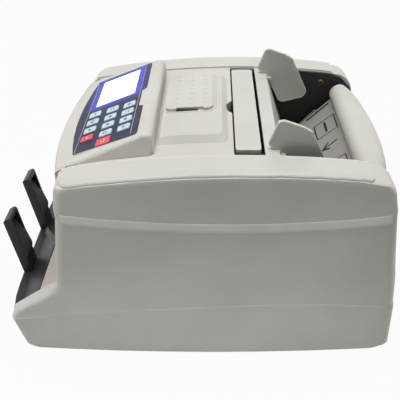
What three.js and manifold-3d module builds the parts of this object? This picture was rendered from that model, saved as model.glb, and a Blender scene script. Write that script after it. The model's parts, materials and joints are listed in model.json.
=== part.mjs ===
// Desk-top banknote counter with a hopper, a control pod and a front stacker pocket.
// Millimetres, +Z up, the operator stands on the -Y side. The model ends centred over its footprint.
import * as THREE from 'three';
import { mergeVertices } from 'three/addons/utils/BufferGeometryUtils.js';
import Module from 'manifold-3d';

const wasm = await Module();
wasm.setup();

// Driving dimensions, shared by all pieces
const gap = 0.3; // between pieces that touch
const wall = 2.4; // moulded shells
const overrun = 6; // how far a cutting solid runs past what it cuts
const arcSteps = 3; // straight pieces in a rounded corner
const roundSteps = 20; // sides of a small round piece

const body = {
  halfWidth: 125,
  ledgeWidth: 35, // a side cover's ledge, from its outer face to the seam with the middle section
  sideBow: 3.5, // how far the sides draw in towards the front and the rear
  frontBow: 1,
  middleY: 5,
  halfLength: 147,
  wallFrontY: -100.5,
  wallRearY: 145,
  crownZ: 165.4,
  crownY: 42,
  crownFall: 8.6,
  crownSpan: 117,
  rearArcRadius: 21,
  beltZ: 127,
  beltY: 15,
  beltRise: 5.5,
  beltSpan: 112,
  styleFrontZ: 36.5,
  styleFrontY: -138,
  styleLength: 288,
  styleClimb: 29.1,
  styleSwell: 14,
  styleFall: 29,
  bottomZ: 5,
  bottomRise: 4,
  bottomY: -50,
  bottomSpan: 190,
};
const seamX = body.halfWidth - body.ledgeWidth;

// How far inside the seam the middle section's pieces end, or stand
const inset = {
  pod: 2,
  podSeat: 7,
  podTop: 11,
  platform: 21.7,
  access: 31.6,
  handle: 7.5,
  guide: 12,
  hood: 10,
  framePlate: 9,
  hopperSlot: 14,
  stackerWheel: 33,
  board: 32,
  supply: 43,
  powerInlet: 42,
};

const cover = {
  flange: 2.4,
  flangeDepth: 14,
  wingWidth: 15, // the narrow shoulder beside the stacker pocket
  wallFootY: -112.5,
  wallFootZ: 9.2,
  footInset: 3.2,
  heelY: -131,
  rearHeelY: 149.5,
  heelHeight: 4,
  skirtInset: 0.8,
  heelFrontY: -136.5,
  heelRearY: 155.5,
  skirtY: -145,
  skirtRearY: 155,
  styleStep: 1.6,
  styleInset: 2,
  noseY: -144,
  noseTopY: -143,
  noseInset: 1.8,
  noseLiftShare: 0.065,
  noseRadius: 5,
  rampRadius: 12,
  rampLowY: -129,
  rampLowLiftShare: 0.153,
  rampLowRearY: 153.8,
  rampHighY: -117.5,
  rampHighLiftShare: 0.225,
  rampHighRearY: 153.4,
  footY: -107,
  footLiftShare: 0.285,
  footRearY: 153.1,
  footRadius: 7,
  filletY: -106,
  filletLiftShare: 0.47,
  filletRearY: 151,
  wallY: -101.7,
  wallTopRearY: 146.2,
  wallInset: 0.4,
  beltBand: 4.8,
  upperInset: 3,
  overhangY: -103.2,
  overhangRearY: 146.8,
  upperY: -101.8,
  edgeRadius: 5,
  edgeShare: 0.3,
  frontRadius: 9,
  rearRadius: 9,
};
const wingX = body.halfWidth - cover.wingWidth;

const apron = {
  bottomZ: 112,
  stepZ: 128,
  stepRise: 4.8,
  overhang: 1.8,
  topZ: 147.5,
  cornerY: -94,
};

const platform = {
  halfX: seamX - inset.platform,
  frontY: -27.7,
  rearY: 24.6,
  height: 5,
  draft: 4.8, // how far the sides lean in over the height
  corner: 8,
};

const handle = {
  halfX: seamX - inset.handle,
  frontY: 29.5,
  rearY: 48.3,
  thickness: 6,
  rise: 1,
  corner: 3,
  shell: 2,
  endShell: 4,
  frontGap: 1.3,
  rearGap: 2.7,
  troughDepth: 14.5,
  pinInset: 4.5,
  pinDrop: 4.2,
  pinRadius: 2.3,
  pinReach: 8.5,
  notchX: 1.5,
  notchChord: 25,
  notchDepth: 4.8,
  notchFall: 10,
};

const rail = {
  depth: 10.5,
  footY: 78, // lower end of the hopper's front wall
  footZ: 115,
};

const access = {
  leftX: inset.access - seamX,
  rightX: 17.9,
  frontY: -25.9,
  rearY: 12.5,
  cornerRadius: 6,
  thickness: 1.8,
  slotX: 2.2,
  slotFrontY: -17,
  slotRearY: 5,
  wellInset: 3,
  wellDepth: 18,
  wellWall: 2,
};

const knob = {
  radius: 9,
  height: 8,
  grip: 1.2,
  lobes: 12,
  stemRadius: 3,
  stemLength: 5,
};

const pod = {
  tilt: THREE.MathUtils.degToRad(21.9),
  frontY: -103, // reference line of the sloping face
  frontZ: 151,
  crestY: -38.5,
  crestRadius: 4,
  rearY: -28,
  rearTopY: -32,
  tipY: -113,
  tipCornerY: -104,
  underZ: 141,
  lipZ: 144.8,
  baseHalfX: seamX - inset.pod,
  topHalfX: seamX - inset.podTop,
  topZ: 180,
  rearRadius: 18,
  draftSteps: 10,
  seatHalfX: seamX - inset.podSeat, // the opening in the top cover that the pod closes
  seatRearY: -36,
};

// How far the film ends inside the pod's top, and the display inside the film
const panelInset = { left: 2, right: 3, display: 7 };

const panel = {
  leftX: panelInset.left - pod.topHalfX,
  rightX: pod.topHalfX - panelInset.right,
  frontS: 10.5,
  bowS: 8,
  lean: 4, // the right edge draws in towards the front
  rearS: 65,
  corner: 4,
  thickness: 0.8,
  notchLeftX: -15,
  notchRightX: 22,
  notchDepth: 4,
  notchSlant: 3,
  bowSteps: 8,
};

const keys = {
  depth: 10.5,
  width: 9.5,
  corner: 1.6,
  cornerSteps: 2,
  proud: 0.9,
  height: 3.4,
  travel: 0.6,
  boardThickness: 1.6,
  wellMargin: 1.5,
  largeDepth: 12,
  largeWidth: 12,
  fieldWidth: 77, // from the film's right edge to the left edge of the keys
  displayGap: 12,
  frontS: 19.2,
  middleS: 35.5,
  rearS: 51.2,
  frontStart: 5.2, // first key's centre, from the left edge of the keys
  frontPitch: 15,
  frontCount: 4,
  middleStart: 7.9,
  middlePitch: 14.9,
  middleCount: 5,
  rearStart: 11,
  rearPitch: 14.6,
  rearCount: 4,
};
const keyRows = [
  { s: keys.frontS, start: keys.frontStart, pitch: keys.frontPitch, count: keys.frontCount },
  { s: keys.middleS, start: keys.middleStart, pitch: keys.middlePitch, count: keys.middleCount },
  { s: keys.rearS, start: keys.rearStart, pitch: keys.rearPitch, count: keys.rearCount },
];

const display = {
  leftX: panel.leftX + panelInset.display,
  rightX: panel.rightX - keys.fieldWidth - keys.displayGap,
  frontS: 16.5,
  rearS: 53.5,
  corner: 1.5,
};

const guide = {
  x: seamX - inset.guide,
  thickness: 3,
  frontY: 53,
  length: 47.5,
  bottomZ: 137,
  height: 51.3,
  corner: 3,
  headCorner: 8,
  footCorner: 4,
  tailCorner: 5,
  travel: 38,
  tongueZ: 160.1,
  tongueHeight: 2.1,
  tongueHalfX: 5,
  headY: 56,
  headDepth: 3,
  headDrop: 5,
  rootY: 66,
};
const guideOutlineShares = [
  [0, 0.634],
  [0.147, 0.984],
  [0.232, 1],
  [0.526, 0.906],
  [0.674, 0.828],
  [1, 0.205],
  [0.916, 0.097],
  [0.526, 0],
  [0.442, 0.039],
  [0.2, 0.5],
  [0.19, 0.566],
  [0.074, 0.57],
];

const plate = {
  halfX: seamX - inset.framePlate - gap,
  topY: 124,
  topZ: 139,
  bottomY: 84,
  bottomZ: 100,
  thickness: 2.5,
  slotX: seamX - inset.hopperSlot,
  slotWidth: 3,
  slotStartShare: 0.46,
  slotEndShare: 0.93,
  windowX: 26,
  windowHalf: 8,
  windowStartShare: 0.08,
  windowEndShare: 0.5,
};

const liner = {
  thickness: 2.1,
  topDrop: 0.7,
  rearInset: 1.6,
  bottomZ: 105.5,
  frontY: 84,
  wallGap: 1,
  curveSteps: 8,
};

const screw = {
  y: 114,
  z: 152.5,
  headRadius: 3.2,
  headHeight: 1.8,
  shankRadius: 1.5,
  shankLength: 5.5,
  recess: 0.9,
  recessRadius: 1.3,
};

const hood = {
  halfX: seamX - inset.hood,
  rollY: 131.5,
  rollZ: 144.3,
  rollRadius: 9.2,
  rollStart: THREE.MathUtils.degToRad(215),
  cornerRadius: 12,
  rearY: 144,
  footY: 147.6,
  bottomZ: 118,
  bulge: 6.5,
  footBulge: 2,
  endDraw: 4, // rounds the rear corners in plan
  endWall: 2.4,
  endInset: 0.8,
  crowding: 1.6, // sets the sections closer together towards the ends
  steps: 12,
};

const back = {
  bottomZ: 12,
  bulge: 2,
  recess: 1, // behind the side covers' rear edges
  steps: 8,
};

const inlet = {
  x: seamX - inset.powerInlet,
  z: 42,
  flangeWidth: 56,
  flangeHeight: 28,
  flangeThickness: 2,
  bodyMargin: 4,
  bodyDepth: 22,
  socketX: 13,
  socketWidth: 25,
  socketHeight: 18,
  socketDepth: 15,
  pinWidth: 4,
  pinThickness: 2,
  pinLength: 10,
  pinPitch: 7,
  pinDrop: 4,
  rockerX: 15.5,
  rockerWidth: 13,
  rockerHeight: 19,
  rockerDepth: 9,
  rockerProud: 1.4,
  rockerThickness: 6,
  rockerTilt: THREE.MathUtils.degToRad(8),
  rockerPlay: 1.5, // room for the rocker's corners as it rocks
};

const base = {
  inset: 9,
  frontY: -123,
  rearY: 141,
  z: 6,
  thickness: 2.4,
  corner: 12,
};

const foot = {
  radius: 9,
  tread: 7.5,
  inset: 27,
  frontY: -104,
  rearY: 122,
  plugRadius: 3,
};

const stacker = {
  halfX: wingX - gap,
  lipY: -153,
  lipZ: 25.3,
  lipDepth: 8,
  lipBow: 8.5,
  lipCurl: 6, // keeps the bow to the lip's ends
  lipFootY: -147,
  lipFootZ: 9,
  inclineY: -127.8,
  inclineZ: 41.5,
  floorWideY: -109,
  floorRearY: -99,
  floorRearZ: 52,
  throatTopY: -90,
  throatTopZ: 117,
  slotHalf: 7,
  slotReach: 1.5,
  bowSteps: 14,
};

const arm = {
  x: 34.5,
  width: 21,
  footDepth: 7.4,
  topY: -164,
  topZ: 80.5,
  topDepth: 7.2,
  peakDepth: 5.4,
  topDrop: 3,
  rim: 2.4,
  pocketDepth: 4.4,
  pocketBottomShare: 0.63,
  pocketTopShare: 0.94,
  facetBottomShare: 0.16,
};

const frame = {
  x: seamX - inset.framePlate,
  thickness: 1.6,
  frontY: -95,
  rearY: 136,
  bottomZ: 8.7,
  shoulderZ: 92,
  hoodY: -55,
  hoodZ: 130,
  hopperGap: 1.5,
  windowMargin: 14,
};

const feed = {
  y: 70,
  z: 88,
  shaftRadius: 4,
  rollerRadius: 15,
  rollerX: 30,
  rollerHalf: 11,
  pulleyRadius: 9,
  sidePulleyRadius: 9,
};

const pickup = {
  y: 101.2,
  z: 100.6,
  shaftRadius: 4,
  sleeveRadius: 11.6,
  pulleyRadius: 9,
};

const wheel = {
  x: seamX - inset.stackerWheel,
  y: -86,
  z: 72,
  shaftRadius: 4,
  hubRadius: 10,
  reach: 39,
  width: 7,
  fingers: 8,
  fingerThickness: 1.8,
  fingerSweep: THREE.MathUtils.degToRad(55),
  fingerSteps: 5,
  pulleyRadius: 8.5,
};

const motor = {
  y: 10,
  z: 42,
  radius: 27,
  length: 52,
  shaftRadius: 3,
  boreDepth: 24,
  pulleyRadius: 8,
};

const belt = {
  offset: 4, // outside the seam
  width: 8,
  thickness: 1.6,
  pulleyRim: 1,
  samples: 24,
};

const beltX = seamX + belt.offset;
const baseHalfX = body.halfWidth - base.inset;
const footX = body.halfWidth - foot.inset;

const supply = {
  x: inset.supply - seamX,
  y: 10,
  width: 58,
  length: 92,
  height: 38,
  lidInset: 4,
  lidHeight: 3,
};

const board = {
  halfX: seamX - inset.board,
  frontY: 64,
  rearY: 124,
  thickness: 1.6,
  standoff: 5,
  standoffRadius: 3,
  standoffInset: 5,
  chipWidth: 20,
  chipHeight: 4,
  socketWidth: 34,
  socketDepth: 8,
  socketHeight: 9,
};

// Finishes
const finish = (color, roughness, metalness = 0) =>
  new THREE.MeshStandardMaterial({ color, roughness, metalness });
const casing = () => finish(0xd8d4ce, 0.55);
const casingShade = () => finish(0xb9b7b2, 0.55);
const blackPlastic = () => finish(0x2a2a2c, 0.6);
const floorPlastic = () => finish(0xcfc4bb, 0.6);
const overlayFilm = () => finish(0x1f2233, 0.35);
const displayGlass = () => finish(0xf2f3ff, 0.2);
const keyPlastic = () => finish(0xd9e8f2, 0.45);
const redKeyPlastic = () => finish(0xe8344a, 0.45);
const steel = () => finish(0xa8abb0, 0.35, 1);
const zincPlate = () => finish(0xb4b6b8, 0.4, 1);
const rubber = () => finish(0x2d2d2f, 0.85);
const wheelPlastic = () => finish(0xa9a59d, 0.5);
const circuitGreen = () => finish(0x1e5b3a, 0.5);

// Curves of the casing, each a height over the body's length
const square = (value) => value * value;
const crownAt = (y) => body.crownZ - body.crownFall * square((y - body.crownY) / body.crownSpan);
const rearArcY = body.wallRearY - body.rearArcRadius;
const rearArcZ = crownAt(rearArcY) - body.rearArcRadius;
const topAt = (y) => {
  if (y <= rearArcY) return crownAt(y);
  return rearArcZ + Math.sqrt(Math.max(square(body.rearArcRadius) - square(y - rearArcY), 0));
};
const beltAt = (y) => body.beltZ + body.beltRise * square((y - body.beltY) / body.beltSpan);
const styleAt = (y) => {
  const share = (y - body.styleFrontY) / body.styleLength;
  return body.styleFrontZ + share * (body.styleClimb + share * (body.styleSwell - body.styleFall * share));
};
const bottomAt = (y) => body.bottomZ + body.bottomRise * square((y - body.bottomY) / body.bottomSpan);
const between = (low, high, share) => (y) => low(y) + (high(y) - low(y)) * share;
const raised = (curve, lift) => (y) => curve(y) + lift;

// Solids

/** A closed geometry as a solid, with its faces turned outwards. */
function solidOf(geometry) {
  geometry.deleteAttribute('normal');
  geometry.deleteAttribute('uv');
  const merged = mergeVertices(geometry, gap / 1000);
  const { array } = merged.getAttribute('position');
  const corner = (i) => new THREE.Vector3().fromArray(array, 3 * i);
  const triangles = [];
  let volume = 0;
  for (let i = 0; i < merged.index.count; i += 3) {
    const [a, b, c] = [0, 1, 2].map((k) => merged.index.getX(i + k));
    if (a === b || b === c || a === c) continue;
    triangles.push([a, b, c]);
    volume += corner(a).dot(corner(b).cross(corner(c)));
  }
  const turned = volume < 0 ? triangles.map(([a, b, c]) => [a, c, b]) : triangles;
  return new wasm.Manifold(new wasm.Mesh({
    numProp: 3,
    vertProperties: Float32Array.from(array),
    triVerts: Uint32Array.from(turned.flat()),
  }));
}

/** A solid as a geometry, mirrored to the operator's left if asked. */
function geometryOf(solid, mirrored = false) {
  const mesh = solid.getMesh();
  const geometry = new THREE.BufferGeometry();
  const positions = Float32Array.from(mesh.vertProperties);
  const index = Uint32Array.from(mesh.triVerts);
  if (mirrored) {
    for (let i = 0; i < positions.length; i += 3) positions[i] = -positions[i];
    for (let i = 0; i < index.length; i += 3) [index[i], index[i + 1]] = [index[i + 1], index[i]];
  }
  geometry.setAttribute('position', new THREE.BufferAttribute(positions, 3));
  geometry.setIndex(new THREE.BufferAttribute(index, 1));
  geometry.computeVertexNormals();
  return geometry;
}

const unitX = new THREE.Vector3(1, 0, 0);
const unitY = new THREE.Vector3(0, 1, 0);
const unitZ = new THREE.Vector3(0, 0, 1);
const alongX = new THREE.Matrix4().makeBasis(unitY, unitZ, unitX); // outline in (y, z)
const alongY = new THREE.Matrix4().makeBasis(unitX, unitZ, unitY); // outline in (x, z)
const alongZ = new THREE.Matrix4(); // outline in (x, y)

/** An outline pushed along an axis, with its points moved by an optional warp. */
function prism(outline, from, to, basis, steps = 1, warp = null) {
  const shape = new THREE.Shape(outline.map(([a, b]) => new THREE.Vector2(a, b)));
  const geometry = new THREE.ExtrudeGeometry(shape, { depth: to - from, bevelEnabled: false, steps });
  geometry.translate(0, 0, from);
  geometry.applyMatrix4(basis);
  if (warp) {
    const position = geometry.getAttribute('position');
    const point = new THREE.Vector3();
    for (let i = 0; i < position.count; i += 1) {
      warp(point.fromBufferAttribute(position, i));
      position.setXYZ(i, point.x, point.y, point.z);
    }
  }
  return solidOf(geometry);
}

/** A box between two corners. */
function block(low, high) {
  const size = high.map((value, i) => value - low[i]);
  const geometry = new THREE.BoxGeometry(...size);
  geometry.translate(...low.map((value, i) => value + size[i] / 2));
  return solidOf(geometry);
}

/** A round solid about an axis along X, from [x, radius] pairs that start and end on the axis. */
function turned(profile, y, z, sides = roundSteps) {
  const geometry = new THREE.LatheGeometry(profile.map(([x, radius]) => new THREE.Vector2(radius, x)), sides);
  geometry.rotateZ(-Math.PI / 2);
  geometry.translate(0, y, z);
  return solidOf(geometry);
}

/** A plain round bar or hole along X. */
const bar = (fromX, toX, radius, y, z) =>
  turned([[fromX, 0], [fromX, radius], [toX, radius], [toX, 0]], y, z);

/** A plain round bar or hole along Z. */
function post(x, y, fromZ, toZ, radius, sides = roundSteps) {
  const geometry = new THREE.CylinderGeometry(radius, radius, toZ - fromZ, sides);
  geometry.rotateX(Math.PI / 2);
  geometry.translate(x, y, (fromZ + toZ) / 2);
  return solidOf(geometry);
}

/** Corners [a, b, radius] as an outline with the corners rounded. */
function rounded(corners, steps = arcSteps) {
  return corners.flatMap(([a, b, radius = 0], i) => {
    if (radius === 0) return [[a, b]];
    const here = new THREE.Vector2(a, b);
    const [before, after] = [i - 1, i + 1].map((k) => {
      const [c, d] = corners[(k + corners.length) % corners.length];
      return new THREE.Vector2(c, d).sub(here);
    });
    const room = Math.min(before.length(), after.length()) / 2;
    const half = before.angleTo(after) / 2;
    const reach = Math.min(radius / Math.tan(half), room);
    const curve = new THREE.QuadraticBezierCurve(
      here.clone().addScaledVector(before.normalize(), reach),
      here,
      here.clone().addScaledVector(after.normalize(), reach),
    );
    return curve.getPoints(steps).map((point) => point.toArray());
  });
}

/** A rectangle with rounded corners. */
const roundedBox = (lowA, lowB, highA, highB, radius, steps = arcSteps) =>
  rounded([[lowA, lowB, radius], [highA, lowB, radius], [highA, highB, radius], [lowA, highB, radius]], steps);

/** A path of [a, b] points as the outline of a sheet that lies to the right of the path. */
function sheet(path, thickness) {
  const points = path.map(([a, b]) => new THREE.Vector2(a, b));
  const rightOf = (from, to) => {
    const step = to.clone().sub(from).normalize();
    return new THREE.Vector2(step.y, -step.x);
  };
  const moved = points.map((point, i) => {
    const sides = [];
    if (i > 0) sides.push(rightOf(points[i - 1], point));
    if (i < points.length - 1) sides.push(rightOf(point, points[i + 1]));
    const normal = sides.reduce((sum, side) => sum.add(side), new THREE.Vector2()).normalize();
    return point.clone().addScaledVector(normal, thickness / normal.dot(sides[0]));
  });
  return [...path, ...moved.reverse().map((point) => point.toArray())];
}

/** Evenly spaced values from one end to the other. */
const spaced = (from, to, count) =>
  Array.from({ length: count + 1 }, (_, i) => from + ((to - from) * i) / count);

/** Points of a circle's arc. */
const arc = (a, b, radius, from, to, count) =>
  spaced(from, to, count).map((angle) => [a + radius * Math.cos(angle), b + radius * Math.sin(angle)]);

const model = new THREE.Group();

/** Adds a named piece to a group. */
function add(name, solid, material, parent = model, mirrored = false) {
  const mesh = new THREE.Mesh(geometryOf(solid, mirrored), material);
  mesh.name = name;
  parent.add(mesh);
  return mesh;
}

/** Adds a piece and its mirror image on the operator's left. */
function addPair(name, solid, material) {
  add(`${name}_right`, solid, material());
  add(`${name}_left`, solid, material(), model, true);
}

const middleHalf = seamX - gap / 2;
const coverSeam = seamX + gap / 2;

// Side covers: rings of the casing from the bottom edge to the ledge, each an outline in plan whose
// height follows one of the casing's curves
const sideStationShares = [0.1, 0.24, 0.38, 0.52, 0.66, 0.8, 0.92];

const coverRings = [
  {
    height: bottomAt,
    inset: cover.footInset,
    front: cover.heelY,
    rear: cover.rearHeelY,
    nose: cover.noseRadius,
  },
  {
    height: raised(bottomAt, cover.heelHeight),
    inset: cover.skirtInset * 2,
    front: cover.heelFrontY,
    rear: cover.heelRearY,
    nose: cover.noseRadius,
  },
  {
    height: styleAt,
    inset: cover.skirtInset,
    front: cover.skirtY,
    rear: cover.skirtRearY,
    nose: cover.noseRadius,
  },
  {
    height: raised(styleAt, cover.styleStep),
    inset: cover.styleInset,
    front: cover.noseY,
    rear: cover.skirtRearY - cover.wallInset,
    nose: cover.noseRadius,
  },
  {
    height: between(styleAt, beltAt, cover.noseLiftShare),
    inset: cover.noseInset,
    front: cover.noseTopY,
    rear: cover.skirtRearY - cover.skirtInset,
    nose: cover.frontRadius,
  },
  {
    height: between(styleAt, beltAt, cover.rampLowLiftShare),
    inset: cover.noseInset,
    front: cover.rampLowY,
    rear: cover.rampLowRearY,
    nose: cover.rampRadius,
  },
  {
    height: between(styleAt, beltAt, cover.rampHighLiftShare),
    inset: cover.noseInset,
    front: cover.rampHighY,
    rear: cover.rampHighRearY,
    nose: cover.rampRadius,
  },
  {
    height: between(styleAt, beltAt, cover.footLiftShare),
    inset: cover.noseInset,
    front: cover.footY,
    rear: cover.footRearY,
    nose: cover.footRadius,
  },
  {
    height: between(styleAt, beltAt, cover.filletLiftShare),
    inset: cover.noseInset,
    front: cover.filletY,
    rear: cover.filletRearY,
    nose: cover.footRadius,
  },
  {
    height: raised(beltAt, -cover.beltBand),
    inset: 0,
    front: cover.wallY,
    rear: cover.wallTopRearY,
    nose: cover.frontRadius,
  },
  {
    height: beltAt,
    inset: cover.upperInset,
    front: cover.overhangY,
    rear: cover.overhangRearY,
    nose: cover.frontRadius,
  },
  {
    height: raised(topAt, -cover.edgeRadius),
    inset: cover.upperInset + cover.wallInset,
    front: cover.upperY,
    rear: body.wallRearY,
    nose: cover.frontRadius,
  },
  {
    height: raised(topAt, -cover.edgeRadius * cover.edgeShare),
    inset: cover.upperInset + cover.edgeRadius * cover.edgeShare,
    front: cover.upperY + cover.edgeRadius * cover.edgeShare,
    rear: body.wallRearY - cover.wallInset,
    nose: cover.frontRadius,
  },
  {
    height: topAt,
    inset: cover.upperInset + cover.edgeRadius,
    front: cover.upperY + cover.edgeRadius,
    rear: body.wallRearY - cover.edgeRadius * cover.edgeShare,
    nose: cover.frontRadius,
  },
];

/** The plan outline of one ring, from the seam at the front round to the seam at the rear. */
function coverColumns(ring, seam) {
  const side = body.halfWidth - ring.inset;
  const frontStart = ring.front + body.frontBow;
  const rearStart = ring.rear - body.frontBow;
  const frontEnd = frontStart + ring.nose;
  const rearEnd = rearStart - cover.rearRadius;
  const columns = [
    [seam, ring.front],
    [(seam + side - ring.nose) / 2, ring.front + body.frontBow / 2],
    ...arc(side - ring.nose, frontEnd, ring.nose, -Math.PI / 2, 0, arcSteps),
    ...sideStationShares.map((share) => [side, frontEnd + (rearEnd - frontEnd) * share]),
    ...arc(side - cover.rearRadius, rearEnd, cover.rearRadius, 0, Math.PI / 2, arcSteps),
    [(seam + side - cover.rearRadius) / 2, ring.rear - body.frontBow / 2],
    [seam, ring.rear],
  ];
  return columns.map(([x, y]) => {
    const drawIn = body.sideBow * square((y - body.middleY) / body.halfLength);
    return [x - (drawIn * (x - seam)) / (side - seam), y];
  });
}

/** The solid that a stack of rings encloses, closed by a flat face on the seam. */
function coverSolid(rings, seam) {
  const positions = [];
  const index = [];
  const vertex = (x, y, z) => positions.push(x, y, z) / 3 - 1;
  const quad = (a, b, c, d) => index.push(a, b, c, a, c, d);
  const stacks = rings.map((ring) => {
    const columns = coverColumns(ring, seam);
    const outer = columns.map(([x, y]) => vertex(x, y, ring.height(y)));
    const inner = columns.map(([, y], i) => {
      if (i === 0 || i === columns.length - 1) return outer[i];
      return vertex(seam, y, ring.height(y));
    });
    return { outer, inner };
  });
  const last = stacks[0].outer.length - 1;
  for (let j = 0; j < last; j += 1) {
    for (let k = 0; k < stacks.length - 1; k += 1) {
      const [low, high] = [stacks[k], stacks[k + 1]];
      quad(low.outer[j], low.outer[j + 1], high.outer[j + 1], high.outer[j]);
      quad(low.inner[j + 1], low.inner[j], high.inner[j], high.inner[j + 1]);
    }
    const [bottom, top] = [stacks[0], stacks[stacks.length - 1]];
    quad(top.outer[j], top.outer[j + 1], top.inner[j + 1], top.inner[j]);
    quad(bottom.inner[j], bottom.inner[j + 1], bottom.outer[j + 1], bottom.outer[j]);
  }
  const geometry = new THREE.BufferGeometry();
  geometry.setAttribute('position', new THREE.Float32BufferAttribute(positions, 3));
  geometry.setIndex(index);
  return solidOf(geometry);
}

/** One of the casing's rings, moved inwards by the wall. */
const innerRing = (ring, drop) => ({
  ...ring,
  height: raised(ring.height, -drop),
  inset: ring.inset + wall,
  front: ring.front + wall,
  rear: ring.rear - wall,
});

const handlePinY = handle.rearY - handle.pinInset;
const handlePinZ = topAt(handle.rearY) - handle.pinDrop;
const screwStartX = middleHalf - liner.thickness;

// A point of the cover's front wall, which carries on below the shoulder on its inner part
const wallFrontAt = (z) => {
  const share = (z - cover.wallFootZ) / (styleAt(cover.footY) + cover.styleStep - cover.wallFootZ);
  return cover.wallFootY + (cover.footY - cover.wallFootY) * share;
};

function makeSideCover() {
  const outer = coverSolid(coverRings, coverSeam);
  const [top] = coverRings.slice(-1);
  const lowest = { ...innerRing(coverRings[0], 0), height: raised(bottomAt, -overrun) };
  const highest = { ...innerRing(top, wall), front: top.front, rear: body.wallRearY - wall };
  const cavity = coverSolid(
    [lowest, ...[1, 2, 4, 5, 6, 7, 8, 9, 11].map((k) => innerRing(coverRings[k], wall)), highest],
    coverSeam - overrun,
  );
  const opening = prism(
    [
      [body.wallFrontY, -overrun],
      [body.wallFrontY, beltAt(body.wallFrontY) - overrun],
      ...[pod.rearY, handle.rearY, rearArcY].map((y) => [y, topAt(y) - cover.flangeDepth - wall]),
      [base.rearY - wall, beltAt(base.rearY) - overrun],
      [base.rearY - wall, -overrun],
    ],
    coverSeam - overrun,
    coverSeam + cover.flange + overrun,
    alongX,
  );
  const slab = outer.intersect(block(
    [coverSeam, stacker.lipY, base.z + base.thickness + gap],
    [coverSeam + cover.flange, body.wallRearY + 2 * overrun, body.crownZ],
  ));
  const shoulderZ = between(styleAt, beltAt, cover.footLiftShare)(cover.footY);
  const pocket = prism(
    [
      [stacker.lipY, -overrun],
      [wallFrontAt(-overrun), -overrun],
      [wallFrontAt(shoulderZ), shoulderZ],
      [wallFrontAt(shoulderZ), shoulderZ + overrun],
      [stacker.lipY, shoulderZ + overrun],
    ],
    coverSeam - overrun,
    wingX,
    alongX,
  );
  const innerFaces = [
    block(
      [wingX, stacker.lipY, base.z + base.thickness + gap],
      [wingX + cover.flange, cover.footY, shoulderZ + overrun],
    ),
    prism(
      sheet([
        [wallFrontAt(cover.wallFootZ), cover.wallFootZ],
        [wallFrontAt(shoulderZ), shoulderZ],
        [cover.filletY, between(styleAt, beltAt, cover.filletLiftShare)(cover.filletY)],
      ], cover.flange),
      coverSeam,
      wingX + cover.flange,
      alongX,
    ),
  ].map((face) => outer.intersect(face));
  const pinHole = bar(
    coverSeam - overrun,
    coverSeam + cover.flange + overrun,
    handle.pinRadius + gap,
    handlePinY,
    handlePinZ,
  );
  const screwHole = bar(
    coverSeam - overrun,
    coverSeam + cover.flange + overrun,
    screw.shankRadius + gap,
    screw.y,
    screw.z,
  );
  const shell = outer.subtract(cavity).add(slab.subtract(opening)).subtract(pocket);
  return innerFaces.reduce((solid, face) => solid.add(face), shell).subtract(pinHole).subtract(screwHole);
}

// Top cover: one bent sheet from the front apron over the top skin, through the handle trough, over
// the rail and down the hopper's front wall
const trough = {
  frontY: handle.frontY - handle.frontGap,
  rearY: handle.rearY + handle.rearGap,
  floorZ: topAt(handle.rearY) - handle.troughDepth,
};
const railTopZ = topAt(trough.rearY);
const railEdgeY = trough.rearY + rail.depth;
const hopperWallY = (z) =>
  railEdgeY + ((railTopZ - z) / (railTopZ - rail.footZ)) * (rail.footY - railEdgeY);

const frontPath = [
  [body.wallFrontY, apron.bottomZ],
  [body.wallFrontY, apron.stepZ],
  [body.wallFrontY - apron.overhang, apron.stepZ + apron.stepRise],
  [body.wallFrontY, apron.topZ],
  ...spaced(apron.cornerY, trough.frontY, 10).map((y) => [y, topAt(y)]),
];

const platformTopAt = (y) => topAt(y) + platform.height;

/** A layer that follows the top skin between two lifts. */
function skinLayer(frontY, rearY, lowLift, highLift, halfLow, halfHigh) {
  const ys = spaced(frontY, rearY, 5);
  const outline = [
    ...ys.map((y) => [y, topAt(y) + lowLift]),
    ...ys.toReversed().map((y) => [y, topAt(y) + highLift]),
  ];
  return prism(outline, halfLow, halfHigh, alongX);
}

/** Leans the platform's sides in as they rise, and sets them on the top skin. */
const leanPlatform = (point) => {
  const lift = point.z;
  const lean = (platform.draft * lift) / platform.height;
  point.x *= 1 - lean / platform.halfX;
  point.y -= (lean * (point.y - platform.frontY)) / (platform.rearY - platform.frontY);
  point.z = topAt(point.y) + lift;
};

const well = {
  leftX: access.leftX + access.wellInset,
  rightX: access.rightX - access.wellInset,
  frontY: access.frontY + access.wellInset,
  rearY: access.rearY - access.wellInset,
  floorZ: platformTopAt(access.frontY) - access.wellDepth,
};
const knobX = (well.leftX + well.rightX) / 2;
const knobY = (well.frontY + well.rearY) / 2;

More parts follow.
